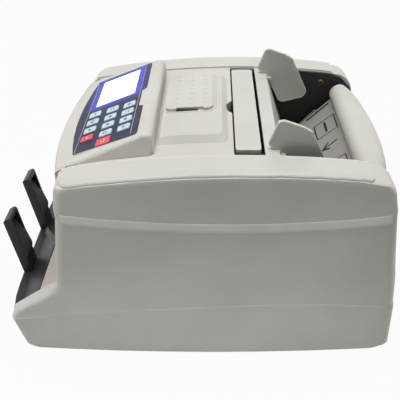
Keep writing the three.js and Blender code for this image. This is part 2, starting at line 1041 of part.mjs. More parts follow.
function makeTopCover() {
  const path = [
    ...frontPath,
    [trough.frontY, trough.floorZ],
    [trough.rearY, trough.floorZ],
    [trough.rearY, railTopZ],
    [railEdgeY, railTopZ],
    [rail.footY, rail.footZ],
  ];
  const skin = prism(sheet(path, wall), -middleHalf, middleHalf, alongX);
  const platformSides = prism(
    rounded([
      [-platform.halfX, platform.frontY],
      [platform.halfX, platform.frontY],
      [platform.halfX, platform.rearY, platform.corner],
      [-platform.halfX, platform.rearY, platform.corner],
    ]),
    -wall,
    platform.height + wall,
    alongZ,
    1,
    leanPlatform,
  );
  const raisedBed = skinLayer(
    platform.frontY, platform.rearY + wall, -wall / 2, platform.height, -seamX, seamX,
  ).intersect(platformSides);
  const hollowInset = platform.draft + wall;
  const underBed = skinLayer(
    platform.frontY + wall,
    platform.rearY - hollowInset,
    -wall - overrun,
    platform.height - wall,
    -platform.halfX + hollowInset,
    platform.halfX - hollowInset,
  );
  const wellOuter = block(
    [well.leftX - access.wellWall, well.frontY - access.wellWall, well.floorZ - access.wellWall],
    [well.rightX + access.wellWall, well.rearY + access.wellWall, platformTopAt(well.frontY) - wall / 2],
  );
  const wellInner = block(
    [well.leftX, well.frontY, well.floorZ],
    [well.rightX, well.rearY, platformTopAt(well.rearY) + overrun],
  );
  const knobHole = post(
    knobX, knobY, well.floorZ - access.wellWall - overrun, well.floorZ + overrun, knob.stemRadius + gap,
  );
  const slotCut = (sign) => block(
    [
      sign > 0 ? guide.x - guide.travel - guide.tongueHalfX - gap : -guide.x - guide.tongueHalfX - gap,
      guide.headY,
      guide.tongueZ - gap,
    ],
    [
      sign > 0 ? guide.x + guide.tongueHalfX + gap : -guide.x + guide.travel + guide.tongueHalfX + gap,
      guide.rootY + overrun,
      guide.tongueZ + guide.tongueHeight + gap,
    ],
  );
  const notchRadius = (square(handle.notchChord / 2) + square(handle.notchDepth)) / (2 * handle.notchDepth);
  const notchY = trough.frontY - handle.notchDepth + notchRadius;
  const notchWall = post(
    handle.notchX, notchY, trough.floorZ, topAt(trough.frontY) - wall / 2, notchRadius + wall, 2 * roundSteps,
  ).intersect(block(
    [-handle.notchChord, trough.frontY - handle.notchDepth - overrun, trough.floorZ],
    [handle.notchChord, trough.frontY - gap, body.crownZ],
  ));
  const notch = post(
    handle.notchX, notchY, topAt(trough.frontY) - handle.notchFall, body.crownZ + overrun, notchRadius,
    2 * roundSteps,
  ).intersect(block(
    [-handle.notchChord, trough.frontY - handle.notchDepth - overrun, trough.floorZ],
    [handle.notchChord, trough.frontY + wall, body.crownZ + 2 * overrun],
  ));
  const podSeat = block(
    [-pod.seatHalfX, body.wallFrontY - 2 * overrun, pod.underZ],
    [pod.seatHalfX, pod.seatRearY, body.crownZ + overrun],
  );
  return skin.subtract(podSeat).add(raisedBed).subtract(underBed).add(wellOuter).subtract(wellInner).subtract(knobHole)
    .add(notchWall).subtract(notch).subtract(slotCut(1)).subtract(slotCut(-1));
}

// Control pod: a wedge on the front of the top cover, open below
const podPlaneZ = (y) => pod.frontZ + (y - pod.frontY) * Math.tan(pod.tilt);

function makePodBlock(depth) {
  const drop = depth / Math.cos(pod.tilt);
  const crestY = pod.crestY - depth;
  const frontY = depth > 0 ? body.wallFrontY + wall : pod.tipY - wall;
  const front = depth > 0
    ? [[frontY, pod.underZ - overrun]]
    : [[pod.tipY + overrun, pod.underZ], [frontY, pod.lipZ]];
  const wedge = prism(
    [
      ...front,
      ...rounded([
        [frontY, podPlaneZ(frontY) - drop],
        [crestY, podPlaneZ(crestY) - drop, pod.crestRadius],
        [pod.rearTopY - depth, podPlaneZ(crestY) - drop, pod.crestRadius],
        [pod.rearY - depth, pod.underZ - overrun],
      ]),
    ],
    -pod.baseHalfX - overrun,
    pod.baseHalfX + overrun,
    alongX,
  );
  const half = pod.baseHalfX - depth;
  const frontLine = spaced(-half, half, pod.draftSteps).map((x) => [
    x,
    pod.tipY + depth + (pod.tipCornerY - pod.tipY) * square(x / half),
  ]);
  const plan = prism(
    rounded([
      ...frontLine,
      [half, pod.rearY - depth, pod.rearRadius],
      [-half, pod.rearY - depth, pod.rearRadius],
    ]),
    pod.underZ - 2 * overrun,
    pod.topZ + overrun,
    alongZ,
  );
  const draft = prism(
    [
      [-half, pod.underZ - 2 * overrun],
      [half, pod.underZ - 2 * overrun],
      [half, pod.frontZ - wall],
      [pod.topHalfX - depth, pod.topZ],
      [-pod.topHalfX + depth, pod.topZ],
      [-half, pod.frontZ - wall],
    ],
    pod.tipY - overrun,
    pod.rearY + overrun,
    alongY,
  );
  return wedge.intersect(plan).intersect(draft);
}

/** Places an outline in (x, s) of the pod's sloping face as a prism between two heights off it. */
const slopeBasis = new THREE.Matrix4()
  .makeTranslation(0, pod.frontY, pod.frontZ)
  .multiply(new THREE.Matrix4().makeRotationX(pod.tilt));
const onSlope = (outline, from, to) => prism(outline, from, to, slopeBasis);

const panelOutline = (grow) => {
  const frontS = panel.frontS - grow;
  const frontRightX = panel.rightX - panel.lean;
  const span = frontRightX - panel.leftX + 2 * grow;
  const bow = spaced(panel.leftX - grow, frontRightX + grow, panel.bowSteps).map((x) => {
    const share = (x - panel.leftX + grow) / span;
    return [x, frontS - panel.bowS * (1 - square(2 * share - 1))];
  });
  return rounded([
    ...bow,
    [panel.rightX + grow, panel.rearS + grow, panel.corner],
    [panel.notchRightX - grow, panel.rearS + grow],
    [panel.notchRightX - panel.notchSlant - grow, panel.rearS - panel.notchDepth + grow],
    [panel.notchLeftX + panel.notchSlant + grow, panel.rearS - panel.notchDepth + grow],
    [panel.notchLeftX + grow, panel.rearS + grow],
    [panel.leftX - grow, panel.rearS + grow, panel.corner],
  ]);
};

const keyCells = keyRows.flatMap(({ s, start, pitch, count }) => Array.from({ length: count }, (_, i) => {
  const centre = panel.rightX - keys.fieldWidth + start + pitch * i;
  const last = i === count - 1;
  const large = last && s === keys.middleS;
  return {
    x: centre,
    s,
    red: last && s !== keys.rearS,
    depth: large ? keys.largeDepth : keys.depth,
    width: large ? keys.largeWidth : keys.width,
  };
}));
const keyOutline = (cell, grow) => roundedBox(
  cell.x - cell.width / 2 - grow,
  cell.s - cell.depth / 2 - grow,
  cell.x + cell.width / 2 + grow,
  cell.s + cell.depth / 2 + grow,
  keys.corner,
  keys.cornerSteps,
);
const keyFieldHigh = Math.max(...keyCells.map((cell) => cell.x + cell.width / 2)) + keys.wellMargin;
const keyFieldLow = Math.min(...keyCells.map((cell) => cell.x - cell.width / 2)) - keys.wellMargin;
const keyFieldFront = keys.frontS - keys.depth / 2 - keys.wellMargin;
const keyFieldRear = keys.rearS + keys.depth / 2 + keys.wellMargin;
const keyBottom = keys.proud - keys.height;
const boardTop = keyBottom - keys.travel - gap;
const boardBottom = boardTop - keys.boardThickness;
const podSkin = -boardBottom + gap; // the pod's sloping wall holds the keypad board from below
const displayOutline = (grow) => roundedBox(
  display.leftX - grow, display.frontS - grow, display.rightX + grow, display.rearS + grow, display.corner,
);

function makeControlPod() {
  const outer = makePodBlock(0);
  const inner = makePodBlock(podSkin + wall);
  const bodyTop = prism(
    [
      ...frontPath.map(([y, z]) => [y - gap, z + (y > body.wallFrontY ? gap : 0)]),
      [trough.frontY, apron.bottomZ],
    ],
    -pod.baseHalfX - overrun,
    pod.baseHalfX + overrun,
    alongX,
  ).subtract(block(
    [-pod.seatHalfX + gap, body.wallFrontY - 2 * overrun, pod.underZ + gap],
    [pod.seatHalfX - gap, pod.seatRearY - gap, body.crownZ + overrun],
  ));
  const recess = onSlope(panelOutline(gap), -panel.thickness - gap, overrun);
  const keyWell = onSlope(
    roundedBox(keyFieldLow, keyFieldFront, keyFieldHigh, keyFieldRear, keys.corner),
    boardBottom - gap,
    overrun,
  );
  return outer.subtract(inner).subtract(bodyTop).subtract(recess).subtract(keyWell);
}

function makeOverlay() {
  const film = onSlope(panelOutline(0), -panel.thickness, 0);
  const holes = keyCells.map((cell) => onSlope(keyOutline(cell, gap), -overrun, overrun));
  return [...holes, onSlope(displayOutline(gap), -overrun, overrun)]
    .reduce((solid, hole) => solid.subtract(hole), film);
}

// Hopper
const guideOutline = () => {
  const corners = [
    guide.corner, guide.corner, guide.corner, guide.headCorner, guide.corner, guide.tailCorner,
    guide.corner, guide.footCorner, guide.corner, 0, 0, guide.corner,
  ];
  return rounded(guideOutlineShares.map(([y, z], i) => [
    guide.frontY + guide.length * y,
    guide.bottomZ + guide.height * z,
    corners[i],
  ]), 3);
};

function makeGuide() {
  const sheetSolid = prism(guideOutline(), guide.x - guide.thickness / 2, guide.x + guide.thickness / 2, alongX);
  const topZ = guide.tongueZ + guide.tongueHeight;
  const tongue = block(
    [guide.x - guide.tongueHalfX, guide.headY, guide.tongueZ],
    [guide.x + guide.tongueHalfX, guide.rootY, topZ],
  );
  const head = block(
    [guide.x - guide.tongueHalfX, guide.headY, guide.tongueZ - guide.headDrop],
    [guide.x + guide.tongueHalfX, guide.headY + guide.headDepth, topZ],
  );
  return sheetSolid.add(tongue).add(head);
}

const plateAt = (share) => [
  plate.bottomY + (plate.topY - plate.bottomY) * share,
  plate.bottomZ + (plate.topZ - plate.bottomZ) * share,
];

function makeHopperPlate() {
  const sheetSolid = prism(sheet([plateAt(0), plateAt(1)], plate.thickness), -plate.halfX, plate.halfX, alongX);
  const cut = (centre, half, fromShare, toShare) => {
    const [fromY] = plateAt(fromShare);
    const [toY] = plateAt(toShare);
    return block(
      [centre - half, fromY, plate.bottomZ - overrun],
      [centre + half, toY, plate.topZ + overrun],
    );
  };
  return [
    cut(plate.slotX, plate.slotWidth / 2, plate.slotStartShare, plate.slotEndShare),
    cut(-plate.slotX, plate.slotWidth / 2, plate.slotStartShare, plate.slotEndShare),
    cut(plate.windowX, plate.windowHalf, plate.windowStartShare, plate.windowEndShare),
    cut(-plate.windowX, plate.windowHalf, plate.windowStartShare, plate.windowEndShare),
  ].reduce((solid, hole) => solid.subtract(hole), sheetSolid);
}

function makeLiner() {
  const topZ = railTopZ - liner.topDrop;
  const rearY = body.wallRearY - liner.rearInset;
  const curve = spaced(hopperWallY(topZ) + liner.wallGap, rearY, liner.curveSteps)
    .map((y) => [y, topAt(y) - liner.topDrop - (y > rearArcY ? liner.rearInset : 0)]);
  const outline = [
    ...curve,
    [rearY, liner.bottomZ],
    [liner.frontY, liner.bottomZ],
    [hopperWallY(rail.footZ) + liner.wallGap, rail.footZ],
  ];
  const hole = bar(screwStartX - overrun, middleHalf + overrun, screw.shankRadius + gap, screw.y, screw.z);
  return prism(outline, screwStartX, middleHalf, alongX).subtract(hole);
}

function makeLinerScrew() {
  const face = screwStartX - gap;
  const solid = turned(
    [
      [face - screw.headHeight, 0],
      [face - screw.headHeight, screw.headRadius * (1 - screw.recess / screw.headRadius)],
      [face - screw.headHeight / 2, screw.headRadius],
      [face, screw.headRadius],
      [face, screw.shankRadius],
      [face + screw.shankLength, screw.shankRadius],
      [face + screw.shankLength, 0],
    ],
    screw.y,
    screw.z,
  );
  const drive = bar(
    face - screw.headHeight - overrun, face - screw.headHeight + screw.recess, screw.recessRadius, screw.y, screw.z,
  );
  return solid.subtract(drive);
}

/** Bows the hood's rear in plan, less so at its foot, and crowds its sections towards the ends. */
const bulgeHood = (point) => {
  const toEnd = 1 - Math.abs(point.x) / hood.halfX;
  point.x = Math.sign(point.x) * hood.halfX * (1 - toEnd ** hood.crowding);
  const across = Math.abs(point.x) / hood.halfX;
  const reach = THREE.MathUtils.clamp((point.y - hood.rollY) / (hood.rearY - hood.rollY), 0, 1);
  const rise = THREE.MathUtils.clamp((point.z - hood.bottomZ) / (hood.rollZ - hood.bottomZ), 0, 1);
  const bow = hood.footBulge + (hood.bulge - hood.footBulge) * rise;
  point.y += reach * (bow * (1 - square(across)) - hood.endDraw * rise * across ** hood.steps);
};

function makeHood() {
  const cornerY = hood.rearY - hood.cornerRadius;
  const cornerZ = hood.rollZ + hood.rollRadius - hood.cornerRadius;
  const pathInset = (depth) => [
    ...arc(hood.rollY, hood.rollZ, hood.rollRadius - depth, hood.rollStart, Math.PI / 2, 7),
    ...arc(cornerY, cornerZ, hood.cornerRadius - depth, Math.PI / 2, 0, 5),
    [hood.footY - depth, hood.bottomZ + depth],
  ];
  const shell = prism(
    sheet([...pathInset(0).slice(0, -1), [hood.footY, hood.bottomZ]], wall),
    -hood.halfX,
    hood.halfX,
    alongX,
    hood.steps,
    bulgeHood,
  );
  const ends = [-1, 1].map((side) => prism(
    pathInset(hood.endInset),
    ...[side * hood.halfX, side * (hood.halfX - hood.endWall)].toSorted((a, b) => a - b),
    alongX,
    1,
    (point) => {
      point.y -= hood.endInset;
    },
  ));
  return ends.reduce((solid, end) => solid.add(end), shell);
}

// Back panel, with the inlet's cut-out
const hoodFloorZ = hood.bottomZ - gap;
const backBulge = (point) => {
  point.y += back.bulge * (1 - square(point.x / middleHalf));
};
const backLine = [
  [cover.heelRearY - back.recess, back.bottomZ],
  [cover.skirtRearY - back.recess, styleAt(body.wallRearY)],
  [cover.footRearY - back.recess, between(styleAt, beltAt, cover.footLiftShare)(body.wallRearY)],
  [cover.filletRearY - back.recess, between(styleAt, beltAt, cover.filletLiftShare)(body.wallRearY)],
  [hood.footY - back.recess / 2, hoodFloorZ],
];
const inletFaceY = cover.heelRearY - back.recess + back.bulge;

function makeBackPanel() {
  const panelSolid = prism(sheet(backLine, -wall), -middleHalf, middleHalf, alongX, back.steps, backBulge);
  const halfX = inlet.flangeWidth / 2 - inlet.bodyMargin + gap;
  const halfZ = inlet.flangeHeight / 2 - inlet.bodyMargin + gap;
  return panelSolid.subtract(block(
    [inlet.x - halfX, inletFaceY - 2 * overrun, inlet.z - halfZ],
    [inlet.x + halfX, inletFaceY + 2 * overrun, inlet.z + halfZ],
  ));
}

function makeInlet() {
  const faceY = inletFaceY + gap;
  const frontY = faceY + inlet.flangeThickness;
  const halfX = inlet.flangeWidth / 2;
  const halfZ = inlet.flangeHeight / 2;
  const flange = prism(
    roundedBox(inlet.x - halfX, inlet.z - halfZ, inlet.x + halfX, inlet.z + halfZ, inlet.bodyMargin / 2),
    faceY,
    frontY,
    alongY,
  );
  const housing = block(
    [inlet.x - halfX + inlet.bodyMargin, faceY - inlet.bodyDepth, inlet.z - halfZ + inlet.bodyMargin],
    [inlet.x + halfX - inlet.bodyMargin, faceY + gap, inlet.z + halfZ - inlet.bodyMargin],
  );
  const socketX = inlet.x + inlet.socketX;
  const socket = prism(
    rounded([
      [socketX - inlet.socketWidth / 2, inlet.z - inlet.socketHeight / 2],
      [socketX + inlet.socketWidth / 2, inlet.z - inlet.socketHeight / 2],
      [socketX + inlet.socketWidth / 2, inlet.z + inlet.socketHeight / 2, inlet.bodyMargin],
      [socketX - inlet.socketWidth / 2, inlet.z + inlet.socketHeight / 2, inlet.bodyMargin],
    ], 1),
    frontY - inlet.socketDepth,
    frontY + overrun,
    alongY,
  );
  const pins = [-1, 0, 1].map((side) => {
    const x = socketX + side * inlet.pinPitch;
    const z = inlet.z + (side === 0 ? inlet.pinDrop : 0) - inlet.pinDrop / 2;
    return block(
      [x - inlet.pinThickness / 2, frontY - inlet.socketDepth - gap, z - inlet.pinWidth / 2],
      [x + inlet.pinThickness / 2, frontY - inlet.socketDepth + inlet.pinLength, z + inlet.pinWidth / 2],
    );
  });
  const rockerX = inlet.x - inlet.rockerX;
  const rockerWell = block(
    [
      rockerX - inlet.rockerWidth / 2 - gap,
      frontY - inlet.rockerDepth,
      inlet.z - inlet.rockerHeight / 2 - gap,
    ],
    [
      rockerX + inlet.rockerWidth / 2 + gap,
      frontY + overrun,
      inlet.z + inlet.rockerHeight / 2 + gap,
    ],
  );
  return pins.reduce((solid, pin) => solid.add(pin), flange.add(housing).subtract(socket).subtract(rockerWell));
}

const rockerPivotY = inletFaceY + gap + inlet.flangeThickness - inlet.rockerThickness + inlet.rockerProud;

function makeRocker() {
  const rockerX = inlet.x - inlet.rockerX;
  const half = inlet.rockerHeight / 2 - inlet.rockerPlay;
  const lean = Math.sin(inlet.rockerTilt) * half;
  const face = rockerPivotY + inlet.rockerThickness - lean / 2;
  const outline = [
    [rockerPivotY - gap * 2, inlet.z],
    [rockerPivotY + lean, inlet.z - half],
    [face + lean, inlet.z - half],
    [face - lean / 2, inlet.z],
    [face - lean, inlet.z + half],
    [rockerPivotY + lean, inlet.z + half],
  ];
  return prism(outline, rockerX - inlet.rockerWidth / 2 + gap, rockerX + inlet.rockerWidth / 2 - gap, alongX);
}

// Base pan, feet and what stands on the pan
const panTop = base.z + base.thickness;
const boardSeatZ = panTop + board.standoff;

function makeBasePan() {
  const pan = prism(
    roundedBox(-baseHalfX, base.frontY, baseHalfX, base.rearY, base.corner), base.z, panTop, alongZ,
  );
  const standoffs = [-1, 1].flatMap((side) => [board.frontY, board.rearY].map((y, i) => post(
    side * (board.halfX - board.standoffInset),
    y + (i === 0 ? board.standoffInset : -board.standoffInset),
    base.z + gap,
    boardSeatZ,
    board.standoffRadius,
    2 * arcSteps,
  )));
  const footHoles = [-1, 1].flatMap((side) => [foot.frontY, foot.rearY].map((y) => post(
    side * footX, y, base.z - overrun, panTop + overrun, foot.plugRadius + gap, 3 * arcSteps,
  )));
  const filled = standoffs.reduce((solid, piece) => solid.add(piece), pan);
  return footHoles.reduce((solid, hole) => solid.subtract(hole), filled);
}

function makeFoot(x, y) {
  const height = base.z - gap;
  const geometry = new THREE.LatheGeometry([
    [0, 0],
    [foot.tread, 0],
    [foot.radius, height / 3],
    [foot.radius, height],
    [foot.plugRadius, height],
    [foot.plugRadius, panTop],
    [0, panTop],
  ].map(([radius, z]) => new THREE.Vector2(radius, z)), roundSteps);
  geometry.rotateX(Math.PI / 2);
  geometry.translate(x, y, 0);
  return solidOf(geometry);
}

// Stacker
const lipBow = (point) => {
  const share = THREE.MathUtils.clamp(
    (stacker.inclineY - point.y) / (stacker.inclineY - stacker.lipY), 0, 1,
  );
  point.y += stacker.lipBow * share * Math.abs(point.x / stacker.halfX) ** stacker.lipCurl;
};

function makeStackerLip() {
  const path = [
    [stacker.inclineY, stacker.inclineZ],
    [stacker.lipY + stacker.lipDepth, stacker.lipZ],
    [stacker.lipY, stacker.lipZ],
    [stacker.lipFootY, stacker.lipFootZ],
    [base.frontY - gap, stacker.lipFootZ],
  ].toReversed();
  return prism(sheet(path, wall), -stacker.halfX, stacker.halfX, alongX, stacker.bowSteps, lipBow);
}

const wheelSlots = (solid) => [-wheel.x, wheel.x].reduce((left, x) => left.subtract(block(
  [x - stacker.slotHalf, wheel.y - wheel.reach - stacker.slotReach, wheel.z - wheel.reach],
  [x + stacker.slotHalf, wheel.y + wheel.reach, wheel.z + wheel.reach + stacker.slotReach],
)), solid);

function makeStackerFloor() {
  const path = [
    [stacker.inclineY + wall / 2, stacker.inclineZ + wall / 2],
    [stacker.floorRearY, stacker.floorRearZ],
  ];
  const slotFrontY = wheel.y - Math.sqrt(
    square(wheel.reach) - square(wheel.z - (stacker.inclineZ + stacker.floorRearZ) / 2),
  ) - stacker.slotReach;
  const [start, end] = path;
  const wideShare = (stacker.floorWideY - start[0]) / (end[0] - start[0]);
  const widePath = [start, [stacker.floorWideY, start[1] + (end[1] - start[1]) * wideShare]];
  const floorSolid = prism(sheet(path, wall), -middleHalf, middleHalf, alongX)
    .add(prism(sheet(widePath, wall), -stacker.halfX, stacker.halfX, alongX));
  return [-wheel.x, wheel.x].reduce((solid, x) => solid.subtract(block(
    [x - stacker.slotHalf, slotFrontY, stacker.inclineZ - overrun],
    [x + stacker.slotHalf, stacker.floorRearY + overrun, stacker.floorRearZ + overrun],
  )), floorSolid);
}

function makeStackerThroat() {
  const path = [
    [stacker.floorRearY + gap * 2, stacker.floorRearZ],
    [stacker.throatTopY, stacker.throatTopZ],
  ];
  const sheetSolid = prism(sheet(path, wall), -middleHalf, middleHalf, alongX);
  const plateSlots = [-1, 1].map((side) => block(
    [
      Math.min(side * (frame.x - gap), side * (frame.x + frame.thickness + gap)),
      stacker.floorRearY - overrun,
      stacker.floorRearZ - overrun,
    ],
    [
      Math.max(side * (frame.x - gap), side * (frame.x + frame.thickness + gap)),
      wheel.y,
      frame.shoulderZ + frame.windowMargin / 2,
    ],
  ));
  return wheelSlots(plateSlots.reduce((solid, slot) => solid.subtract(slot), sheetSolid));
}

function makeArm() {
  const footZ = stacker.lipZ + gap;
  const outline = rounded([
    [stacker.lipY + gap, footZ],
    [stacker.lipY + arm.footDepth, footZ],
    [arm.topY + arm.topDepth, arm.topZ - arm.topDrop / 2, arm.rim],
    [arm.topY + arm.peakDepth, arm.topZ, arm.rim],
    [arm.topY, arm.topZ - arm.topDrop, arm.rim],
  ], 3);
  const solid = prism(outline, arm.x - arm.width / 2, arm.x + arm.width / 2, alongX);
  const height = arm.topZ - footZ;
  const rearYAt = (share) => {
    const run = arm.topY + arm.topDepth - stacker.lipY - arm.footDepth;
    return stacker.lipY + arm.footDepth + run * share;
  };
  const at = (share, depth) => [rearYAt(share) - depth, footZ + height * share];
  const pocket = prism(
    [
      at(arm.pocketBottomShare, arm.pocketDepth),
      at(arm.pocketBottomShare, -overrun),
      at(arm.pocketTopShare, -overrun),
      at(arm.pocketTopShare, arm.pocketDepth),
    ],
    arm.x - arm.width / 2 + arm.rim,
    arm.x + arm.width / 2 - arm.rim,
    alongX,
  );
  const facet = prism(
    [
      at(arm.facetBottomShare, 0),
      at(arm.facetBottomShare, -overrun),
      at(arm.pocketBottomShare, -overrun),
      at(arm.pocketBottomShare, arm.pocketDepth / 2),
    ],
    arm.x - arm.width / 2 + arm.rim,
    arm.x + arm.width / 2 - arm.rim,
    alongX,
  );
  return solid.subtract(pocket).subtract(facet);
}

// Mechanism
const pulleyFrom = beltX - belt.pulleyRim;
const pulleyTo = beltX + belt.width + belt.pulleyRim;
const shaftEnd = pulleyTo + belt.pulleyRim;

/** A shaft along X with a pulley at one end or at both. */
function makeShaft(y, z, radius, rightPulley, leftPulley) {
  const profile = [[-shaftEnd, 0], [-shaftEnd, radius]];
  if (leftPulley) {
    profile.push([-pulleyTo, radius], [-pulleyTo, leftPulley], [-pulleyFrom, leftPulley], [-pulleyFrom, radius]);
  }
  if (rightPulley) {
    profile.push([pulleyFrom, radius], [pulleyFrom, rightPulley], [pulleyTo, rightPulley], [pulleyTo, radius]);
  }
  profile.push([shaftEnd, radius], [shaftEnd, 0]);
  return turned(profile, y, z);
}

/** A sleeve on a shaft. */
const makeSleeve = (x, half, radius, bore, y, z) =>
  bar(x - half, x + half, radius, y, z).subtract(bar(x - half - overrun, x + half + overrun, bore, y, z));

function makeFramePlate() {
  const plateY = (z) => plate.bottomY + (z - plate.bottomZ) * ((plate.topY - plate.bottomY)
    / (plate.topZ - plate.bottomZ));
  const outline = [
    [frame.frontY, frame.bottomZ],
    [frame.rearY, frame.bottomZ],
    [frame.rearY, plate.bottomZ],
    [plateY(plate.topZ) + frame.hopperGap * 2, plate.topZ - frame.windowMargin],
    [plateY(plate.topZ - frame.windowMargin), plate.topZ - frame.windowMargin + frame.hopperGap],
    [plate.bottomY - frame.hopperGap, plate.bottomZ - frame.hopperGap],
    [plate.bottomY - frame.windowMargin, plate.bottomZ + frame.hopperGap * 4],
    [handle.rearY, frame.hoodZ],
    [frame.hoodY, frame.hoodZ],
    [frame.frontY + frame.windowMargin, frame.shoulderZ + frame.windowMargin],
    [frame.frontY, frame.shoulderZ],
  ];
  const holes = [
    [feed.y, feed.z, feed.shaftRadius],
    [pickup.y, pickup.z, pickup.shaftRadius],
    [wheel.y, wheel.z, wheel.shaftRadius],
    [motor.y, motor.z, motor.shaftRadius],
  ];
  const solid = prism(outline, frame.x, frame.x + frame.thickness, alongX);
  return holes.reduce((left, [y, z, radius]) => left.subtract(
    bar(frame.x - overrun, frame.x + overrun, radius + gap, y, z),
  ), solid);
}

function makeStackerWheel() {
  const hub = prism(
    arc(wheel.y, wheel.z, wheel.hubRadius, 0, 2 * Math.PI, 2 * wheel.fingers).slice(0, -1),
    wheel.x - wheel.width / 2,
    wheel.x + wheel.width / 2,
    alongX,
  );
  const rootRadius = wheel.hubRadius - wheel.fingerThickness;
  const fingers = spaced(0, 2 * Math.PI, wheel.fingers).slice(0, -1).map((start) => {
    const edge = (lift) => spaced(0, 1, wheel.fingerSteps).map((share) => {
      const radius = rootRadius + (wheel.reach - rootRadius) * share;
      const angle = start - wheel.fingerSweep * square(share) + (lift * wheel.fingerThickness) / radius;
      return [wheel.y + radius * Math.cos(angle), wheel.z + radius * Math.sin(angle)];
    });
    return prism(
      [...edge(0), ...edge(1).toReversed()], wheel.x - wheel.width / 2, wheel.x + wheel.width / 2, alongX,
    );
  });
  const bore = bar(
    wheel.x - wheel.width, wheel.x + wheel.width, wheel.shaftRadius + gap, wheel.y, wheel.z,
  );
  return fingers.reduce((solid, finger) => solid.add(finger), hub).subtract(bore);
}

/** The tight loop round a set of circles, grown by a distance, as an outline. */
function loopRound(circles, grow) {
  const points = circles.flatMap(([y, z, radius]) =>
    arc(y, z, radius + grow, 0, 2 * Math.PI, belt.samples).slice(0, -1));
  points.sort((a, b) => a[0] - b[0] || a[1] - b[1]);
  const turn = (o, a, b) => (a[0] - o[0]) * (b[1] - o[1]) - (a[1] - o[1]) * (b[0] - o[0]);
  const chain = (list) => list.reduce((hull, point) => {
    while (hull.length > 1 && turn(hull.at(-2), hull.at(-1), point) <= 0) hull.pop();
    hull.push(point);
    return hull;
  }, []).slice(0, -1);
  return [...chain(points), ...chain(points.toReversed())];
}

function makeBelt(circles, fromX) {
  // the inner side is cut on a circle round the pulleys' facets, so it clears their corners
  const outer = prism(loopRound(circles, gap + belt.thickness + gap), fromX, fromX + belt.width, alongX);
  const inner = prism(
    loopRound(circles, gap * 2), fromX - overrun, fromX + belt.width + overrun, alongX,
  );
  return outer.subtract(inner);
}

const motorFaceX = frame.x - gap;

function makeMotor() {
  const can = turned(
    [
      [motorFaceX - motor.length, 0],
      [motorFaceX - motor.length, motor.radius * 0.9],
      [motorFaceX - motor.length * 0.94, motor.radius],
      [motorFaceX, motor.radius],
      [motorFaceX, 0],
    ],
    motor.y,
    motor.z,
  );
  return can.subtract(bar(
    motorFaceX - motor.boreDepth, motorFaceX + overrun, motor.shaftRadius + gap, motor.y, motor.z,
  ));
}

function makeMotorShaft() {
  const start = motorFaceX - motor.boreDepth + gap;
  return turned(
    [
      [start, 0],
      [start, motor.shaftRadius],
      [pulleyFrom, motor.shaftRadius],
      [pulleyFrom, motor.pulleyRadius],
      [pulleyTo, motor.pulleyRadius],
      [pulleyTo, 0],
    ],
    motor.y,
    motor.z,
  );
}

function makeSupply() {
  const [halfX, halfY] = [supply.width / 2, supply.length / 2];
  const bottom = panTop + gap;
  const box = block(
    [supply.x - halfX, supply.y - halfY, bottom],
    [supply.x + halfX, supply.y + halfY, bottom + supply.height],
  );
  return box.add(block(
    [supply.x - halfX + supply.lidInset, supply.y - halfY + supply.lidInset, bottom + supply.height / 2],
    [
      supply.x + halfX - supply.lidInset,
      supply.y + halfY - supply.lidInset,
      bottom + supply.height + supply.lidHeight,
    ],
  ));
}

function makeMainBoard() {
  const bottom = boardSeatZ + gap;
  const top = bottom + board.thickness;
  const middleY = (board.frontY + board.rearY) / 2;
  const sheetSolid = block([-board.halfX, board.frontY, bottom], [board.halfX, board.rearY, top]);
  const chip = block(
    [-board.chipWidth / 2, middleY - board.chipWidth / 2, bottom + gap],
    [board.chipWidth / 2, middleY + board.chipWidth / 2, top + board.chipHeight],
  );
  const socket = block(
    [board.halfX - board.socketWidth, board.rearY - board.socketDepth, bottom + gap],
    [board.halfX - board.standoffInset * 2, board.rearY - gap, top + board.socketHeight],
  );
  return sheetSolid.add(chip).add(socket);
}

function makeHandle() {
  const plan = prism(
    roundedBox(-handle.halfX, handle.frontY, handle.halfX, handle.rearY, handle.corner),
    body.crownZ - 2 * handle.thickness,
    body.crownZ + handle.thickness,
    alongZ,
  );
  const outer = skinLayer(
    handle.frontY, handle.rearY, -handle.thickness, handle.rise, -handle.halfX, handle.halfX,
  ).intersect(plan);
  const hollow = skinLayer(
    handle.frontY + handle.shell,
    handle.rearY - 2 * handle.pinInset,
    -handle.thickness - overrun,
    -handle.shell,
    -handle.halfX + handle.endShell,
    handle.halfX - handle.endShell,
  );
  const trunnions = bar(
    -handle.halfX - handle.pinReach, handle.halfX + handle.pinReach, handle.pinRadius, handlePinY, handlePinZ,
  );
  return outer.subtract(hollow).add(trunnions);
}

function makeAccessCover() {
  const layer = skinLayer(
    access.frontY,
    access.rearY,
    platform.height + gap,
    platform.height + gap + access.thickness,
    access.leftX,
    access.rightX,
  );
  const plan = prism(
    roundedBox(access.leftX, access.frontY, access.rightX, access.rearY, access.cornerRadius),
    body.crownZ - overrun,
    body.crownZ + platform.height + 2 * overrun,
    alongZ,
  );
  const slot = block(
    [access.rightX - access.slotX, access.slotFrontY, body.crownZ - overrun],
    [access.rightX + overrun, access.slotRearY, body.crownZ + platform.height + overrun],
  );
  return layer.intersect(plan).subtract(slot);
}

function makeKnob() {
  const bottom = well.floorZ + gap;
  const outline = arc(knobX, knobY, knob.radius, 0, 2 * Math.PI, 2 * knob.lobes).slice(0, -1)
    .map(([x, y], i) => {
      const share = i % 2 === 0 ? 1 : 1 - knob.grip / knob.radius;
      return [knobX + (x - knobX) * share, knobY + (y - knobY) * share];
    });
  return prism(outline, bottom, bottom + knob.height, alongZ).add(post(
    knobX, knobY, bottom - access.wellWall - knob.stemLength, bottom + gap, knob.stemRadius,
  ));
}

